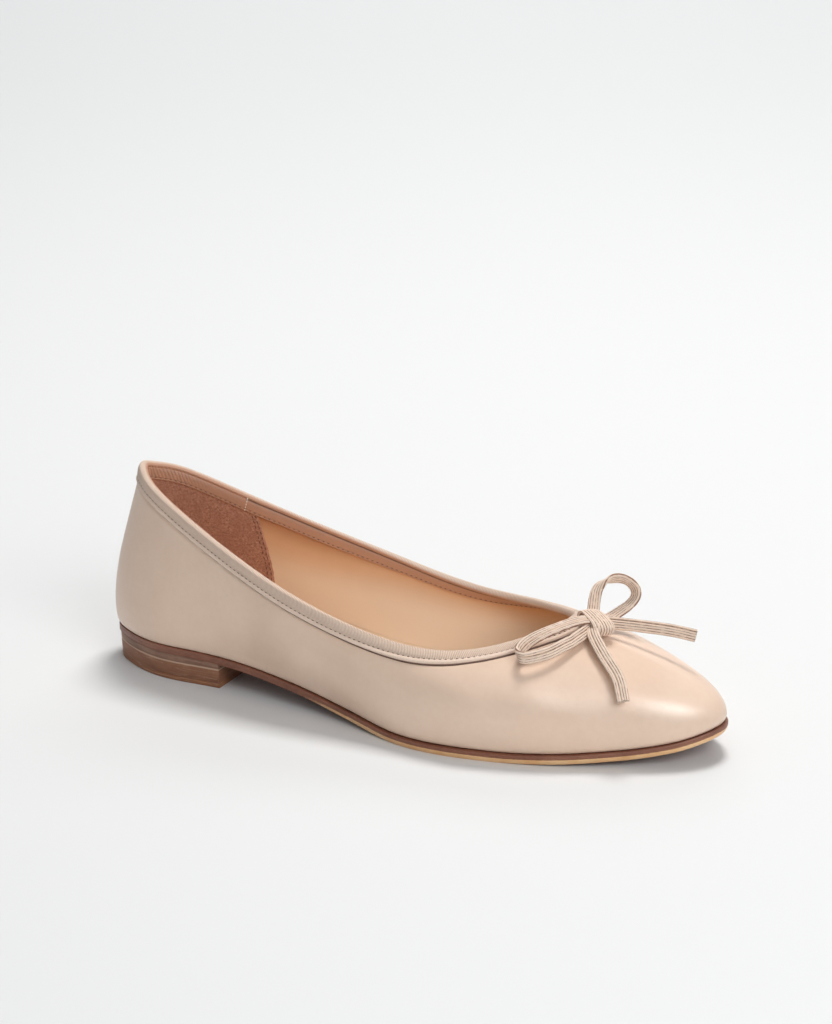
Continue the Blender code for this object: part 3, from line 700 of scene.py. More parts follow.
def bow_cord():
    """Flat cord of cotton, woven with five ribs along it.

    The eye sees matt pale ribs with brown grooves that come and go; the brown in the grooves is
    painted shade. The ribs are in the mesh. The twill of 0.42 mm is true to size, and the yarn, of
    about 0.1 mm, is drawn at 0.22 mm. Places across the piece count its ribs.
    """
    shader = Shader("woven_cord", "#dcc2ae", 0.75, Sheen_Weight=0.15, Sheen_Roughness=0.4)
    along, across, _ = shader.node("ShaderNodeSeparateXYZ", {0: shader.places["UV"]}).outputs
    turns = shader.node("ShaderNodeMath", {0: across, 1: 2 * pi}, operation="MULTIPLY").outputs[0]
    ribs = shader.node("ShaderNodeMath", {0: turns}, operation="COSINE").outputs[0]
    twill = shader.waves(along, across, 0.9 * 0.42 * MM, 0.42 * MM)
    yarn = shader.patches(0.22 * MM, detail=3, rough=0.65)
    links = {"Value": shader.patches(2.4 * MM, detail=3), "From Min": 0.35, "From Max": 0.65}
    links.update({"To Min": -0.95, "To Max": -0.35})
    edge = shader.node("ShaderNodeMapRange", links, interpolation_type="SMOOTHSTEP").outputs[0]
    # The brown in the grooves between the ribs is painted shade.
    tone = shader.painted(
        "#7b513b", (ribs, -1.0, edge, 1, "#efdac8"), (yarn, 0.3, 0.75, 0.35, "#c4a086")
    )
    return shader.finish(tone, (twill, 0.035 * MM, 0.7), (yarn, 0.07 * MM, 1))


def thread(name, colour):
    """Polyester thread, twisted and waxed: a dull even line, its plies drawn at 0.15 mm."""
    shader = Shader(name, colour, 0.6)
    return shader.finish(None, (shader.patches(0.15 * MM), 0.03 * MM, 1))


def sole_leather():
    """Sole leather, tanned in bark, with a trimmed and stained edge and a bevel that is cut clean.

    The eye sees a satin brown edge with short upright fibres, and a pale bevel that starts at the
    waist. Fibres of 0.1 mm are drawn at 0.5 mm. Places across are heights over the edge's foot.
    """
    shader = Shader("stained_sole_leather", "#86523a", 0.38, Coat_Weight=0.2, Coat_Roughness=0.3)
    across = shader.node("ShaderNodeSeparateXYZ", {0: shader.places["UV"]}).outputs[1]
    forward = shader.node("ShaderNodeSeparateXYZ", {0: shader.places["Object"]}).outputs[0]
    fibre = shader.patches(0.5 * MM, detail=4, stretch=(0.35, 0.35, 1.6))
    cloud = shader.patches(9 * MM, detail=3)
    brown = shader.painted(
        "#7c4a34", (cloud, 0.3, 0.7, 1, "#8e5a42"), (fibre, 0.45, 0.75, 0.5, "#66392a")
    )
    pale = shader.painted("#e0ad78", (cloud, 0.3, 0.7, 1, "#ecc392"))
    bevel = shader.painted(brown, (forward, -34 * MM, -12 * MM, 1, pale))
    links = {0: fibre, 1: 0.25 * MM, 2: across}
    frayed = shader.node("ShaderNodeMath", links, operation="MULTIPLY_ADD").outputs[0]
    tone = shader.painted(bevel, (frayed, 0.40 * MM, 0.62 * MM, 1, brown))
    return shader.finish(tone, (fibre, 0.06 * MM, 1), rough=(fibre, 0.38, 0.6))


def lift_edge(name, dark, light, fleck, pale_line=-1.0):
    """A layer of the heel, of sole leather or rubber, ground and stained as one stack.

    The eye sees a matt brown edge with level streaks and flecks. Fibres of 0.2 mm are drawn at
    0.7 mm. pale_line: height of the unstained line under the first lift, below the floor for none.
    """
    shader = Shader(name, dark, 0.55)
    height = shader.node("ShaderNodeSeparateXYZ", {0: shader.places["Object"]}).outputs[2]
    fibre = shader.patches(0.7 * MM, detail=6, rough=0.75, stretch=(0.7, 0.7, 1.5))
    cloud = shader.patches(6 * MM, detail=3)
    streak = shader.patches(2.2 * MM, detail=2, stretch=(0.06, 0.06, 2.2))
    tone = shader.painted(
        dark,
        (cloud, 0.3, 0.7, 1, light),
        (fibre, 0.52, 0.75, 0.45, fleck),
        (shader.far_from(streak, 0.55), 0.018, 0.0, 0.6, "#c0967a"),
        (shader.far_from(height, pale_line), 0.42 * MM, 0.16 * MM, 0.85, "#c7a891"),
    )
    return shader.finish(tone, (fibre, 0.09 * MM, 1), rough=(fibre, 0.45, 0.7))


# Meshes.


def make_piece(name, points, faces, uvs, material, node=None, crisp=None):
    """An object of a mesh in the part's frame. uvs: one pair for each corner of each face."""
    mesh = bpy.data.meshes.new(name)
    mesh.from_pydata((points + SHIFT).tolist(), [], faces)
    if uvs is not None:
        layer = mesh.uv_layers.new(name="UVMap")
        layer.data.foreach_set("uv", np.asarray(uvs, np.float32).ravel())
    mesh.shade_smooth()
    if crisp is not None:
        mesh.set_sharp_from_angle(angle=radians(crisp))
    mesh.materials.append(material)
    piece = bpy.data.objects.new(name, mesh)
    bpy.context.scene.collection.objects.link(piece)
    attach(piece, "root")
    if node is not None:
        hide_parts(node)


def grid_faces(rows, columns, closed_rows, closed_columns):
    """Quads between the points of a grid, and each quad's corners as (row, column)."""
    faces, corners = [], []
    for r in range(rows if closed_rows else rows - 1):
        for c in range(columns if closed_columns else columns - 1):
            square = ((r, c), (r, c + 1), (r + 1, c + 1), (r + 1, c))
            faces.append([(a % rows) * columns + b % columns for a, b in square])
            corners.extend(square)
    return faces, corners


def strips(columns):
    """Faces that fill a ring of points with strips across it, from end to end."""
    half = columns // 2
    between = [(i, i + 1, columns - i - 1, columns - i) for i in range(1, half - 1)]
    return [(0, 1, columns - 1), *between, (half - 1, half, half + 1)]


def path_length(points, closed=True):
    """Distance along a run of points, from its first."""
    last = points[:1] if closed else points[-1:]
    steps = np.linalg.norm(np.diff(np.vstack([points, last]), axis=0), axis=1)
    return np.concatenate([[0], np.cumsum(steps)])[: len(points)]


def swept(name, rings, material, node=None, u=None, v=None, caps=None, crisp=None):
    """A surface through rings of points round the shoe.

    u, v: places along and across in metres. caps: faces that fill the first ring, and the last
    one the other way round. Without them the last ring joins the first.
    """
    grid = np.array(rings)
    rows, columns = grid.shape[:2]
    u = path_length(grid[0]) if u is None else u
    v = np.arange(rows) * MM if v is None else v
    faces, corners = grid_faces(rows, columns, caps is None, True)
    u_at = np.append(u, 2 * u[-1] - u[-2])
    v_at = np.append(v, v[0])
    uvs = [(u_at[c], v_at[r]) for r, c in corners]
    for first, turn in ((0, 1), ((rows - 1) * columns, -1)):
        for cap in caps or ():
            faces.append([first + c for c in cap[::turn]])
            uvs.extend([(0.0, v[0])] * len(cap))
    make_piece(name, grid.reshape(-1, 3), faces, uvs, material, node, crisp)


def bell(offset, width):
    """A bell curve: 1 in the middle, falling off over a width."""
    return np.exp(-((offset / width) ** 2))


def ripple(points, size, seed):
    """Gentle unevenness from -1 to 1: a few crossed waves of about a size."""
    draw = np.random.default_rng(seed)
    count = 7
    total = 0
    for _ in range(count):
        way = unit(draw.normal(size=3))
        turns = points @ way * 2 * pi / (size * draw.uniform(0.7, 1.6))
        total = total + np.sin(turns + draw.uniform(0, 2 * pi))
    return total / count


def creased(points, normals, hold):
    """The upper's face with its troughs and ridges. hold: share by row, 0 where it is held flat."""
    depth = np.zeros(points.shape[:2])
    for x, y, z, run_x, run_z, long, wide, deep in CREASES:
        offset = points / MM - np.array([x, y, z])
        run = np.array([run_x, run_z]) / np.hypot(run_x, run_z)
        near = np.where(np.sign(points[..., 1]) == np.sign(y), 1.0, 0.0)
        s = (offset[..., 0] * run[0] + offset[..., 2] * run[1]) / long
        t = (offset[..., 2] * run[0] - offset[..., 0] * run[1]) / wide
        depth += near * deep * MM * np.exp(-2 * s**2 - 2 * t**2)
    depth += 0.16 * MM * ripple(points, 34 * MM, 5) + 0.035 * MM * ripple(points, 12 * MM, 6)
    return points - (depth * hold)[..., None] * normals


def build_upper():
    """The leather shell: margin, outer face, rim and inner face."""
    angle = angles(AROUND)
    share = np.linspace(0.0, 1.0, UPPER_ROWS)
    outer, normals, climb = outer_face(angle, share)
    steps = np.linalg.norm(np.diff(outer[::-1], axis=0), axis=2)
    down = np.vstack([np.zeros(AROUND), np.cumsum(steps, axis=0)])[::-1]
    pull = 0.45 * MM * (1 + 0.5 * ripple(outer[-1], 7 * MM, 12))
    under_tape = pull * bell(down - BINDING_OUTER_LEG - 0.3 * MM, 0.7 * MM)
    at_feather = 0.5 * MM * np.exp(-share / 0.02)
    hold = np.clip(share / 0.1, 0, 1)[:, None] * np.clip(down / (9 * MM), 0, 1)
    outer = creased(outer, normals, hold)
    outer = outer - (under_tape + at_feather[:, None])[..., None] * normals
    wall = UPPER_WALL - LINING - GLUE
    points, normals, _ = outer_face(angle, np.linspace(1.0, LOWEST_INSIDE, INSIDE_ROWS))
    inner = points - wall * normals
    rim = (outer[-1] + inner[0]) / 2 + wall * 0.4 * climb[-1]
    margin = [
        inset_ring(angle, inset, SEAT_GAP + lift)
        for inset, lift in (
            (wall + FEATHER_ROUNDING, wall),
            (LASTING_MARGIN, wall),
            (LASTING_MARGIN, 0.0),
            (FEATHER_ROUNDING + 0.4 * MM, -0.25 * MM),
        )
    ]
    rings = [*margin[2:], *outer, rim, *inner, *margin[:2]]
    swept("upper_leather", rings, calf_leather(), "upper")


def inner_grid(angle, rows, offset):
    """The upper's inner face at an offset from the outer one, from the insole up to the topline."""
    points, normals, _ = outer_face(angle, np.linspace(LOWEST_INSIDE, 1.0, rows))
    fold = inset_ring(angle, offset + FEATHER_ROUNDING, SEAT_GAP + UPPER_WALL)
    return np.concatenate([fold[None], points - offset * normals])


def build_lining():
    """The tan lining, inside the leather."""
    angle = angles(AROUND // 2)
    offsets = (UPPER_WALL - LINING, UPPER_WALL)
    far, near = [inner_grid(angle, WALL_ROWS, offset) for offset in offsets]
    swept("lining_leather", [*near, *far[::-1]], lining_leather())


def build_insole():
    """The insole, its edge softened where it meets the wall."""
    angle = angles(AROUND // 2)
    grid = inner_grid(angle, WALL_ROWS, UPPER_WALL + 0.02 * MM)
    above = grid[:, :, 2] - seat_height(grid[0, :, 0])
    low = 2 * SEAT_GAP + UPPER_WALL
    top = low + INSOLE_THICKNESS
    edge = ((1.5, 0.0), (1.35, 0.35), (0.75, 0.55), (0.35, 0.95), (0.1, 1.6), (0.0, 2.6))
    rings = []
    for lift, inset in [(low, 0.0)] + [(top + up * MM, inward * MM) for up, inward in edge]:
        ring = grid[0].copy()
        for column in range(len(angle)):
            for axis in range(2):
                heights, places = above[:, column], grid[:, column, axis]
                ring[column, axis] = np.interp(lift, heights, places)
        ring -= inset * level_outward(ring)
        ring[:, 2] = seat_height(ring[:, 0]) + lift
        rings.append(ring)
    material, caps = insole_leather(), strips(len(angle))
    swept("insole_sock", rings, material, "insole", caps=caps, crisp=CRISP)


def grid_sampler(grid, share, angle):
    """Points of a closed grid at any share of its rows and any angle."""
    rows, columns = grid.shape[:2]
    r = np.clip(share, 0, 1) * (rows - 1)
    c = (angle % (2 * pi)) / (2 * pi) * columns
    r0 = np.clip(np.floor(r).astype(int), 0, rows - 2)
    c0 = np.floor(c).astype(int)
    fr = (r - r0)[..., None]
    fc = (c - c0)[..., None]
    c0 = c0 % columns
    c1 = (c0 + 1) % columns
    low = grid[r0, c0] * (1 - fc) + grid[r0, c1] * fc
    high = grid[r0 + 1, c0] * (1 - fc) + grid[r0 + 1, c1] * fc
    return low * (1 - fr) + high * fr


def grip_angles(grid, shares):
    """For each share, the lateral and medial angles at which the grip's front edge crosses."""
    table = np.array(GRIP_EDGE, float) * MM
    tries = np.linspace(0.05, 1.6, 600)
    ends = []
    for share in shares:
        found = []
        for side in (1, -1):
            points = grid_sampler(grid, np.full(len(tries), share), side * tries)
            edge = np.interp(points[:, 2], table[:, 0], table[:, 1])
            found.append(side * tries[np.argmax(points[:, 0] > edge)])
        ends.append(found)
    return np.array(ends)


def build_grip():
    """The suede heel grip on the lining, with its two rows of stitches on each side."""
    angle = angles(AROUND)
    base, raised = [
        inner_grid(angle, GRIP_WALL_ROWS, UPPER_WALL + lift) for lift in (0.0, GRIP_THICKNESS)
    ]
    shares = np.linspace(0.02, 0.97, GRIP_ROWS)
    ends = grip_angles(base, shares)
    edge = np.array([0.0, 0.0012, 0.004])
    t = np.concatenate([edge, np.linspace(0, 1, GRIP_COLUMNS)[1:-1], 1 - edge[::-1]])
    lift = np.ones(len(t))
    lift[[0, -1]] = 0.0
    lift[[1, -2]] = 0.65
    spots = ends[:, :1] + (ends[:, 1:] - ends[:, :1]) * t[None]
    share_grid = np.repeat(shares[:, None], len(t), axis=1)
    low, high = [grid_sampler(grid, share_grid, spots) for grid in (base, raised)]
    grid = low + (high - low) * lift[None, :, None]
    faces, corners = grid_faces(len(shares), len(t), False, False)
    uvs = [(c * MM, r * MM) for r, c in corners]
    points = grid.reshape(-1, 3)
    make_piece("heel_grip_suede", points, faces, uvs, grip_suede())
    runs = []
    for spots in ends.T:
        for inset in (0.9 * MM, 2.5 * MM):
            edge, inner = [grid_sampler(raised, shares, spots * reach) for reach in (1.0, 0.9)]
            normal = unit(edge - grid_sampler(base, shares, spots))
            line = edge + inset * unit(inner - edge) + 0.05 * MM * normal
            runs.append((line[2:], normal[2:]))
    brown = thread("brown_thread", "#6e4433")
    build_stitches("grip_stitches", runs, 2.3 * MM, 1.5 * MM, 0.20 * MM, brown)


def build_stitches(name, runs, pitch, length, radius, material):
    """Short stitches along runs of points. runs: (points, normals) pairs."""
    sides = 6
    rings = ((-1, 0.35), (-0.7, 0.9), (0, 1.0), (0.7, 0.9), (1, 0.35))
    turns = [(cos(k * pi / 3), sin(k * pi / 3)) for k in range(sides)]
    points, faces = [], []
    for line, normals in runs:
        reach = path_length(line, closed=False)
        for middle in np.arange(pitch / 2, reach[-1] - pitch / 2, pitch):
            at = middle + pitch / 8 * np.array([-1, 0, 1])
            back, centre, front = np.stack([np.interp(at, reach, way) for way in line.T], -1)
            normal = unit(np.array([np.interp(middle, reach, way) for way in normals.T]))
            run = unit(front - back)
            side = unit(np.cross(run, normal))
            start = len(points)
            for t, size in rings:
                ring_middle = centre + t * length / 2 * run - radius * 0.9 * t * t * normal
                points += [ring_middle + radius * size * (c * side + s * normal) for c, s in turns]
            for ring in range(len(rings) - 1):
                first = start + ring * sides
                for k in range(sides):
                    a, b = first + k, first + (k + 1) % sides
                    faces.append((a, b, b + sides, a + sides))
            last = start + (len(rings) - 1) * sides
            faces.append(tuple(start + k for k in reversed(range(sides))))
            faces.append(tuple(last + k for k in range(sides)))
    make_piece(name, np.array(points), faces, None, material)


def inner_leg(angle, topline, shares):
    """Points and outward normals of the wall under the inner leg, at shares of the leg's width."""
    table = np.array(INNER_LEG, float) * MM
    width = np.interp(topline[:, 0], table[:, 0], table[:, 1])
    reach = np.linspace(0, table[:, 1].max(), 40)
    points, normals, _ = faces_at(angle, reach)
    row = np.clip(shares[:, None] * width[None] / reach[1], 0, len(reach) - 1.001)
    low = row.astype(int)
    part = (row - low)[..., None]
    column = np.arange(len(angle))[None]
    points, normals = [
        grid[low, column] * (1 - part) + grid[low + 1, column] * part for grid in (points, normals)
    ]
    return points, unit(normals)


def along_section(section, count):
    """Places down a section, evenly through its rows, and the heights there."""
    rows = np.linspace(0, 1, len(section))
    down = np.interp(np.linspace(0, 1, count), rows, section[:, 0])
    return down, np.interp(down, section[:, 0], section[:, 1])


def build_binding():
    """The ribbed tape over the topline, its pleats at the heel and its stitch rows."""
    angle = angles(TAPE_AROUND)
    drops, heights = [side[::-1] for side in along_section(np.array(BINDING_OUTER) * MM, 30)]
    points, normals, _ = faces_at(angle, drops)
    rim, rim_normals, climbs = [grid[0] for grid in faces_at(angle, np.array([0.0]))]
    u = path_length(rim)
    pinch = 0.07 * MM * np.cos(2 * pi * u / STITCH_PITCH)
    near_stitch = bell(drops - OUTER_STITCH_DROP, 0.8 * MM)
    wave = 0.07 * MM * ripple(rim, 8 * MM, 3)
    rise = heights[:, None] - near_stitch[:, None] * pinch[None] + wave[None]
    outside = points + rise[..., None] * normals

    middle = rim - UPPER_WALL / 2 * rim_normals
    radius = (UPPER_WALL / 2 + BINDING_OUTER[0][1] * MM + wave)[:, None]
    turns = np.linspace(0, pi, 13)[1:-1]
    over = [middle + radius * (cos(a) * rim_normals + RIM_RISE * sin(a) * climbs) for a in turns]

    shares, heights = along_section(np.array(BINDING_INNER) * (1, MM), 34)
    points, normals = inner_leg(angle, rim, shares)
    at_heel = bell(rim[:, 0] - 12 * MM, 15 * MM)
    slant = 3.2 * MM * shares[:, None]
    uneven = 2.6 * ripple(rim, 11 * MM, 8)[None]
    pleats = np.sin(2 * pi * (u[None] + slant) / PLEAT_PITCH + uneven)
    grow = np.sin(pi * np.clip(shares / 0.85, 0, 1))[:, None] ** 0.8
    deep = 0.15 * MM * at_heel * grow * pleats
    wander = 0.06 * MM * grow * ripple(rim, 15 * MM, 9)[None]
    over_grip = 0.45 * MM * np.clip((58 * MM - rim[:, 0]) / (8 * MM), 0, 1)
    rise = heights[:, None] + deep + wander + over_grip * (heights > 0)[:, None]
    inside = points - (UPPER_WALL + rise)[..., None] * normals

    back_out, out_normals, _ = faces_at(angle, np.array([5.7 * MM]))
    back_in = points[-1] - (UPPER_WALL - 0.1 * MM) * normals[-1]
    back_out = back_out[0] - 0.1 * MM * out_normals[0]
    over_v, inner_v = np.linspace(0, 2.2 * MM, len(over)), (2.2 + 6 * shares) * MM
    v = np.concatenate([-drops, over_v, inner_v, [9 * MM, -6 * MM]])
    rings = [*outside, *over, *inside, back_in, back_out]
    swept("binding_tape", rings, binding_tape(), "topline_binding", u=u, v=v)

    points, out_normals, _ = faces_at(angle, np.array([OUTER_STITCH_DROP]))
    row = int(np.argmin(abs(shares - INNER_STITCH_SHARE)))
    outer_run = points[0] + 0.42 * MM * out_normals[0], out_normals[0]
    inner_run = inside[row] - 0.02 * MM * normals[row], -normals[row]
    runs = [[np.vstack([way, way[:1]]) for way in run] for run in (outer_run, inner_run)]
    taupe = thread("taupe_thread", "#5a3d2e")
    build_stitches("binding_stitches", runs, STITCH_PITCH, 1.15 * MM, 0.17 * MM, taupe)


def build_join():
    """The short seam where the tape's ends meet, on the medial side."""
    angle = angles(AROUND * 2)
    half = len(angle) // 2
    topline = faces_at(angle, np.array([0.0]))[0][0]
    column = half + int(np.argmin(abs(topline[half:, 0] - BINDING_JOIN)))
    drops = np.linspace(0.2, 5.6, 12) * MM
    points, normals, _ = faces_at(angle, drops)
    inward = -normals[:, column]
    line = points[:, column] + (UPPER_WALL + 1.4 * MM) * inward
    line[:, 0] -= drops * 0.25
    pale, slot = thread("pale_thread", "#efe0d2"), "ribbed_binding_tape"
    build_stitches("binding_join", [(line, inward)], 1.15 * MM, 1.1 * MM, 0.27 * MM, pale)


def build_outsole():
    """The outsole: rounded upper edge, stained side, pale bevel, flat underside."""
    angle = angles(AROUND)
    thickness, _, bevel = sole_shape(feather_line(angle)[:, 0])
    side = thickness - bevel * SOLE_BEVEL_HEIGHT
    rounding, width = SOLE_EDGE_ROUNDING, SOLE_BEVEL_WIDTH
    rings = [sole_ring(angle, 6 * MM, 0), sole_ring(angle, rounding, 0)]
    places = [4.0, 3.0]
    for t in (0.35, 0.75, 1.0):
        inset, fall = 1 - sin(t * pi / 2), 1 - cos(t * pi / 2)
        rings.append(sole_ring(angle, rounding * inset, 0, fall=rounding * fall))
        places.append(2.5 - t)
    for t in (0.25, 0.5, 0.75, 0.93):
        ring = sole_ring(angle, 0, 0, fall=rounding)
        ring[:, 2] -= t * (side - rounding)
        ring += 0.10 * MM * sin(pi * t) * level_outward(ring)
        rings.append(ring)
        places.append((1 - t) * 1.4 + 0.15)
    for t in (0.0, 0.12, 0.5, 0.88, 1.0):
        lift = SOLE_BEVEL_HEIGHT * (1 - t)
        ring = sole_ring(angle, 0, 1, bevel_inset=width * t, bevel_lift=lift)
        ring += 0.12 * MM * sin(pi * t) * (level_outward(ring) - np.array([0, 0, 0.6]))
        rings.append(ring)
        places.append(-0.05 - t)
    rings.append(sole_ring(angle, 0.5 * MM, 1, bevel_inset=width))
    places.append(-2.0)
    grid = np.array(rings)
    grid[..., 2] = np.maximum(grid[..., 2], 0.0)
    material, v, caps = sole_leather(), np.array(places) * MM, strips(AROUND)
    swept(
        "outsole_leather", grid, material, "outsole", v=v, caps=caps, crisp=CRISP
    )


def heel_ring(height, inset):
    """The heel's outline at a height: the sole's edge drawn in and cut straight at the breast."""
    reach = foot_angle(HEEL_LENGTH / SOLE_LENGTH)
    fine = angles(8 * PLAIN_RING)
    edge = sole_ring(fine, inset, 0)
    wanted = np.linspace(-reach, reach, HEEL_AROUND) % (2 * pi)
    ring = np.stack([np.interp(wanted, fine, way, period=2 * pi) for way in edge.T], -1)
    ring[[0, -1], 0] -= 0.05 * MM
    across = np.linspace(0, 1, 14)[1:-1][:, None]
    breast = ring[-1] + (ring[0] - ring[-1]) * across
    breast[:, 0] += 0.035 * MM
    ring = np.vstack([ring, breast])
    ring[:, 2] = height
    return ring


def build_heel():
    """The stacked heel: three layers with eased edges, the first one up to the sole."""
    roof = HEEL_SEAT_HEIGHT - WAIST_THICKNESS
    seam = roof - SEAT_GAP - FIRST_LIFT_THICKNESS
    ease = 0.16 * MM
    first = lift_edge("ground_lift_leather", "#856250", "#936f5c", "#b3917b")
    second = lift_edge("stained_lift_leather", "#88593f", "#98684c", "#b58a6c", seam - 0.3 * MM)
    last = lift_edge("top_piece_rubber", "#8b5a3c", "#976442", "#a87450")
    layers = (
        # piece, node, slot, material, low, high
        ("heel_lift_one", "heel_lift_upper", "heel_lift_leather", first, seam + 0.02 * MM, roof),
        (
            *("heel_lift_two", "heel_lift_lower", "stained_heel_leather", second),
            *(TOP_PIECE_THICKNESS + 0.03 * MM, seam - 0.02 * MM),
        ),
        (
            *("heel_top_piece_edge", "heel_top_piece", "top_piece_rubber", last),
            *(0.0, TOP_PIECE_THICKNESS),
        ),
    )
    for name, node, slot, material, low, high in layers:
        rings = []
        for t, inset in ((0.0, ease), (0.0, 0.0), (0.5, -0.03 * MM), (1.0, 0.0), (1.0, ease)):
            height = low + t * (high - low)
            taper = HEEL_TAPER * (1 - height / HEEL_SEAT_HEIGHT)
            ring = heel_ring(height, HEEL_INSET + taper + inset)
            if high == roof:
                under_sole = seat_height(ring[:, 0]) - sole_shape(ring[:, 0])[0] - 0.05 * MM
                ring[:, 2] = low + t * (under_sole - low)
            if inset == 0.0:
                ring[:, 2] += ease * (1 - 2 * t)
            rings.append(ring)
        caps = [range(len(rings[0]))]
        swept(name, rings, material, node, caps=caps, crisp=CRISP)


# The bow.


def vamp_surface():
    """The upper's outer face as a surface to lay the cords over."""
    grid, _, _ = outer_face(angles(PLAIN_RING), np.linspace(0, 1, 25))
    rows, columns = grid.shape[:2]
    faces, _ = grid_faces(rows, columns, False, True)
    return BVHTree.FromPolygons([Vector(p) for p in grid.reshape(-1, 3)], faces)


def knot_frame(vamp):
    """The knot's middle and its axes: along the loops, along the wrap, away from the vamp."""
    points, _, _ = faces_at(angles(PLAIN_RING), np.array([KNOT_SETBACK]))
    front = points[0, PLAIN_RING // 2]
    above = Vector((front[0], front[1] + KNOT_ACROSS, front[2] + BACK_HEIGHT))
    seat, normal = vamp.ray_cast(above, Vector((0, 0, -1)))[:2]
    away = np.array(normal)
    middle = np.array(seat) + (CORD_CLEARANCE + KNOT_HEIGHT / 2) * away
    forward = unit(np.cross((0.0, 1.0, 0.0), away))
    side = np.cross(away, forward)
    along = cos(KNOT_TURN) * side + sin(KNOT_TURN) * forward
    return middle, along, np.cross(along, away), away


def cord_outline(slit):
    """The ribbed section of a cord: places across, heights, and rib counts for the pattern."""
    half = CORD_WIDTH / 2
    t = np.linspace(0, 1, CORD_RIBS * POINTS_A_RIB + 1)
    across = -half + CORD_WIDTH * t
    body = CORD_THICKNESS / 2 - RIB_DEPTH
    edge = np.sqrt(np.clip(1 - (np.abs(2 * t - 1)) ** 6, 0, 1))
    height = edge * (body + RIB_DEPTH * np.abs(np.sin(pi * CORD_RIBS * t)) ** 0.7)
    faces = []
    for side in (1, -1):
        fold = 0.0 if slit is None else SLIT_DEPTH * bell(across - side * slit * half, 0.28 * MM)
        faces.append(np.stack([across, side * (height - fold), t * CORD_RIBS + 0.5], -1))
    return np.vstack([faces[0], faces[1][::-1][1:-1]])


def cord_lift(point, across, thin, vamp):
    """How far a cord has to rise to clear the vamp and its binding."""
    lift = 0.0
    for a in (-1.0, -0.7, 0.7, 1.0):
        for b in (-1.0, 1.0):
            corner = point + a * CORD_WIDTH / 2 * across + b * CORD_THICKNESS / 2 * thin
            high = Vector(corner) + Vector((0, 0, BACK_HEIGHT))
            hit = vamp.ray_cast(high, Vector((0, 0, -1)))[0]
            if hit is not None:
                lift = max(lift, hit.z + CORD_CLEARANCE - corner[2])
    return lift


def build_cord(name, node, table, reach, steps, slit, vamp, knot, material):
    """A flat ribbed cord of the bow. slit: place across of a deep fold, if it has one."""
    at = np.linspace(0, 1, steps)
    run = even_curve(np.linspace(0, 1, len(table)), table, at)
    line = knot[0] + reach * run[:, :3]
    tangents = unit(np.gradient(line, axis=0))
    wide_way = run[:, 3:]
    across = unit(wide_way - np.sum(wide_way * tangents, axis=1)[:, None] * tangents)
    thin = np.cross(tangents, across)
    lifts = np.array([cord_lift(p, a, d, vamp) for p, a, d in zip(line, across, thin)])
    line = line + lifts[:, None] * np.array([0, 0, 1.0])
    section = cord_outline(slit)
    wobble = (1 + 0.03 * ripple(line, 6 * MM, len(name)))[:, None, None]
    width, height = section[:, :1], section[:, 1:2]
    grid = line[:, None] + width * wobble * across[:, None] + height * thin[:, None]
    grid = grid + (0.07 * MM * ripple(grid, 2.6 * MM, len(name) + 1))[..., None] * thin[:, None]
    grid[-1] = grid[-1] + 0.16 * MM * ripple(grid[-1], 1.1 * MM, 4)[:, None] * tangents[-1]
    rows, columns = grid.shape[:2]
    faces, corners = grid_faces(rows, columns, False, True)
    u = path_length(line, closed=False)
    rib_at = np.append(section[:, 2], section[0, 2])
    uvs = [(u[r], rib_at[c]) for r, c in corners]
    points = [grid.reshape(-1, 3)]
    for ring, way, turn in ((0, -tangents[0], -1), (rows - 1, tangents[-1], 1)):
        hub = rows * columns + len(points) - 1
        points.append((grid[ring].mean(axis=0) - 0.5 * MM * way)[None])
        for c in range(columns):
            trio = (ring * columns + c, ring * columns + (c + 1) % columns, hub)
            faces.append(trio[::turn])
            uvs.extend([(0.0, 0.1), (0.0, 0.1), (0.0, 0.5)])
    make_piece(name, np.vstack(points), faces, uvs, material, node)


def build_knot(knot, material):
    """The knot: the cord wrapped over itself, its ribs running with the wrap."""
    middle, along, wrap, away = knot
    steps, sides = 150, 72
    turns = np.linspace(0, 2 * pi, sides, endpoint=False)
    c, s = np.cos(turns)[None], np.sin(turns)[None]
    t = np.linspace(-1, 1, steps)[:, None]
    rib = KNOT_RIB_DEPTH * (np.abs(np.sin(pi * KNOT_RIBS * (t + 1) / 2)) ** 0.8 - 0.6)
    curl = 0.9 * np.maximum(-t, 0) * np.maximum(-c, 0) ** 0.5
    size = 1 - KNOT_END_SHRINK * t**4 * (1 - curl)
    front = np.sign(c) * abs(c) ** KNOT_ROUNDNESS * (KNOT_LENGTH / 2 * size + rib)
    lift = np.sign(s) * abs(s) ** KNOT_ROUNDNESS * (KNOT_HEIGHT / 2 * size + rib)
    out = t * (1 + 0.10 * c + 0.12 * curl) * KNOT_WIDTH / 2
    grid = middle + out[..., None] * along + front[..., None] * wrap + lift[..., None] * away
    faces, corners = grid_faces(steps, sides, False, True)
    yarn = 0.45 * MM
    uvs = [(k * yarn, (r / (steps - 1)) * KNOT_RIBS + 0.5) for r, k in corners]
    points = [grid.reshape(-1, 3)]
    for ring, inward in ((0, along), (steps - 1, -along)):
        first = sum(len(part) for part in points)
        centre = grid[ring].mean(axis=0)
        for share, sink in KNOT_CAP:
            points.append(centre + share * (grid[ring] - centre) + sink * MM * inward)
        points.append((centre + 2.4 * MM * inward)[None])
        for level in range(len(KNOT_CAP) + 1):
            low = ring * sides if level == 0 else first + (level - 1) * sides
            high = first + level * sides
            for k in range(sides):
                after = (k + 1) % sides
                face = (low + k, low + after, high)
                if level < len(KNOT_CAP):
                    face = (low + k, low + after, high + after, high + k)
                faces.append(face if ring else face[::-1])
                uvs.extend([(k * yarn, 0.55 if level else 0.0)] * len(face))
    points = np.vstack(points)
    make_piece("bow_knot_wrap", points, faces, uvs, material, "bow_knot")


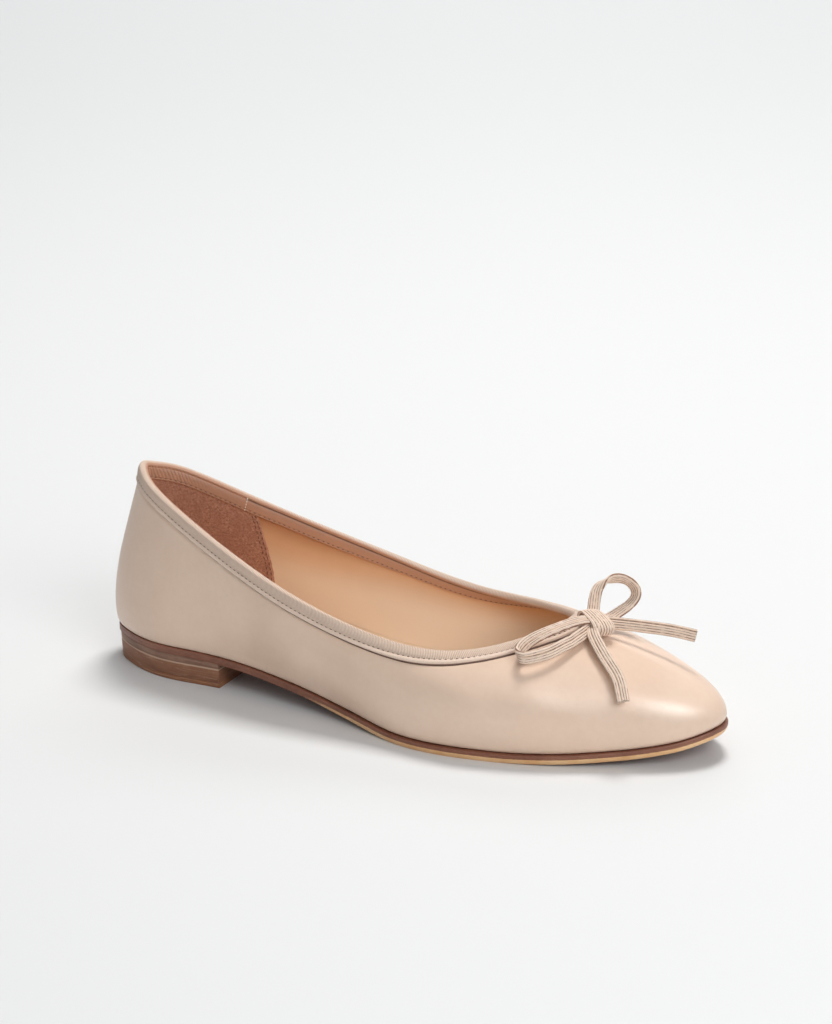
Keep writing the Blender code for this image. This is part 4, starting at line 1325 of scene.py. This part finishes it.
def build_bow():
    """The sewn cord bow."""
    vamp = vamp_surface()
    knot = knot_frame(vamp)
    material = bow_cord()
    build_knot(knot, material)
    cords = (
        # piece, node, table, reach, steps, slit
        ("bow_cord_loop_near", "bow_loop_lateral", LATERAL_LOOP, LOOP_REACH, 190, 0.2),
        ("bow_cord_loop_far", "bow_loop_medial", MEDIAL_LOOP, LOOP_REACH, 190, None),
        ("bow_cord_tail_near", "bow_tail_lateral", LATERAL_TAIL, TAIL_REACH, 130, -0.35),
        ("bow_cord_tail_far", "bow_tail_medial", MEDIAL_TAIL, TAIL_REACH, 130, 0.6),
    )
    for cord in cords:
        build_cord(*cord, vamp, knot, material)


# Floor, light and camera.


def build_floor():
    """A pale paper sweep: matt and even, a floor that rises softly behind."""
    shader = Shader("white_paper_sweep", "#e0e1e1", 0.85)
    mesh = bpy.data.meshes.new("studio_sweep")
    half, back, radius = 6.0, 3.2, 1.2
    turns = np.linspace(0.1, pi / 2, 14)
    profile = [(-4.0, 0.0), (back - radius, 0.0)]
    profile += [(back - radius + radius * sin(a), radius - radius * cos(a)) for a in turns]
    profile.append((back, 5.0))
    points = [(x, y, z - FLOOR_GAP) for y, z in profile for x in (-half, half)]
    faces = [(i, i + 1, i + 3, i + 2) for i in range(0, 2 * len(profile) - 2, 2)]
    mesh.from_pydata(points, [], faces)
    mesh.shade_smooth()
    mesh.materials.append(shader.material)
    floor = bpy.data.objects.new("studio_sweep", mesh)
    bpy.context.scene.collection.objects.link(floor)


def aimed(name, data, place, target):
    """An object of a light or a camera that faces a target."""
    thing = bpy.data.objects.new(name, data)
    thing.location = place
    thing.rotation_euler = (Vector(place) - Vector(target)).to_track_quat("Z", "Y").to_euler()
    bpy.context.scene.collection.objects.link(thing)
    return thing


def add_area(name, place, target, size, power, colour="#ffffff"):
    """A soft rectangular light that faces a target."""
    light = bpy.data.lights.new(name, "AREA")
    light.shape = "RECTANGLE"
    light.size, light.size_y = size
    light.energy = power
    light.color = srgb(colour)
    return aimed(name, light, place, target)


def build_light():
    """A softbox over and behind the shoe, two at its toe, one on the sweep, and a pale fill."""
    world = bpy.data.worlds.new("studio_fill")
    world.use_nodes = True
    background = world.node_tree.nodes["Background"]
    background.inputs["Color"].default_value = (*srgb("#f6f8fb"), 1)
    background.inputs["Strength"].default_value = 0.33
    bpy.context.scene.world = world
    shoe, toe = (0.0, 0.0, 0.03), (0.10, -0.01, 0.02)
    key = add_area("key_softbox", (0.0, 0.48, 1.50), shoe, (0.46, 0.42), 16.5, "#fffdfb")
    key.visible_glossy = False
    add_area("toe_softbox", (0.88, -0.66, 0.74), toe, (0.75, 0.60), 6.6)
    shine = add_area("toe_reflector", (0.89, -0.36, 0.93), toe, (0.50, 0.50), 11.5)
    shine.visible_diffuse = False
    add_area("back_softbox", (-0.8, 1.9, 1.4), (-0.8, 1.8, 0.0), (2.0, 1.2), 19)


def build_camera():
    """The photograph's camera, fitted to the shoe's outline."""
    camera = bpy.data.cameras.new("photo_camera")
    camera.lens = CAMERA_LENS
    camera.sensor_width = 36.0
    camera.clip_start = 0.01
    camera.clip_end = 50.0
    view = aimed("photo_camera", camera, CAMERA_PLACE + SHIFT, CAMERA_TARGET + SHIFT)
    bpy.context.scene.camera = view


build_upper()
build_lining()
build_insole()
build_grip()
build_binding()
build_join()
build_outsole()
build_heel()
build_bow()
build_floor()
build_light()
build_camera()
bpy.context.scene.view_settings.view_transform = "Standard"
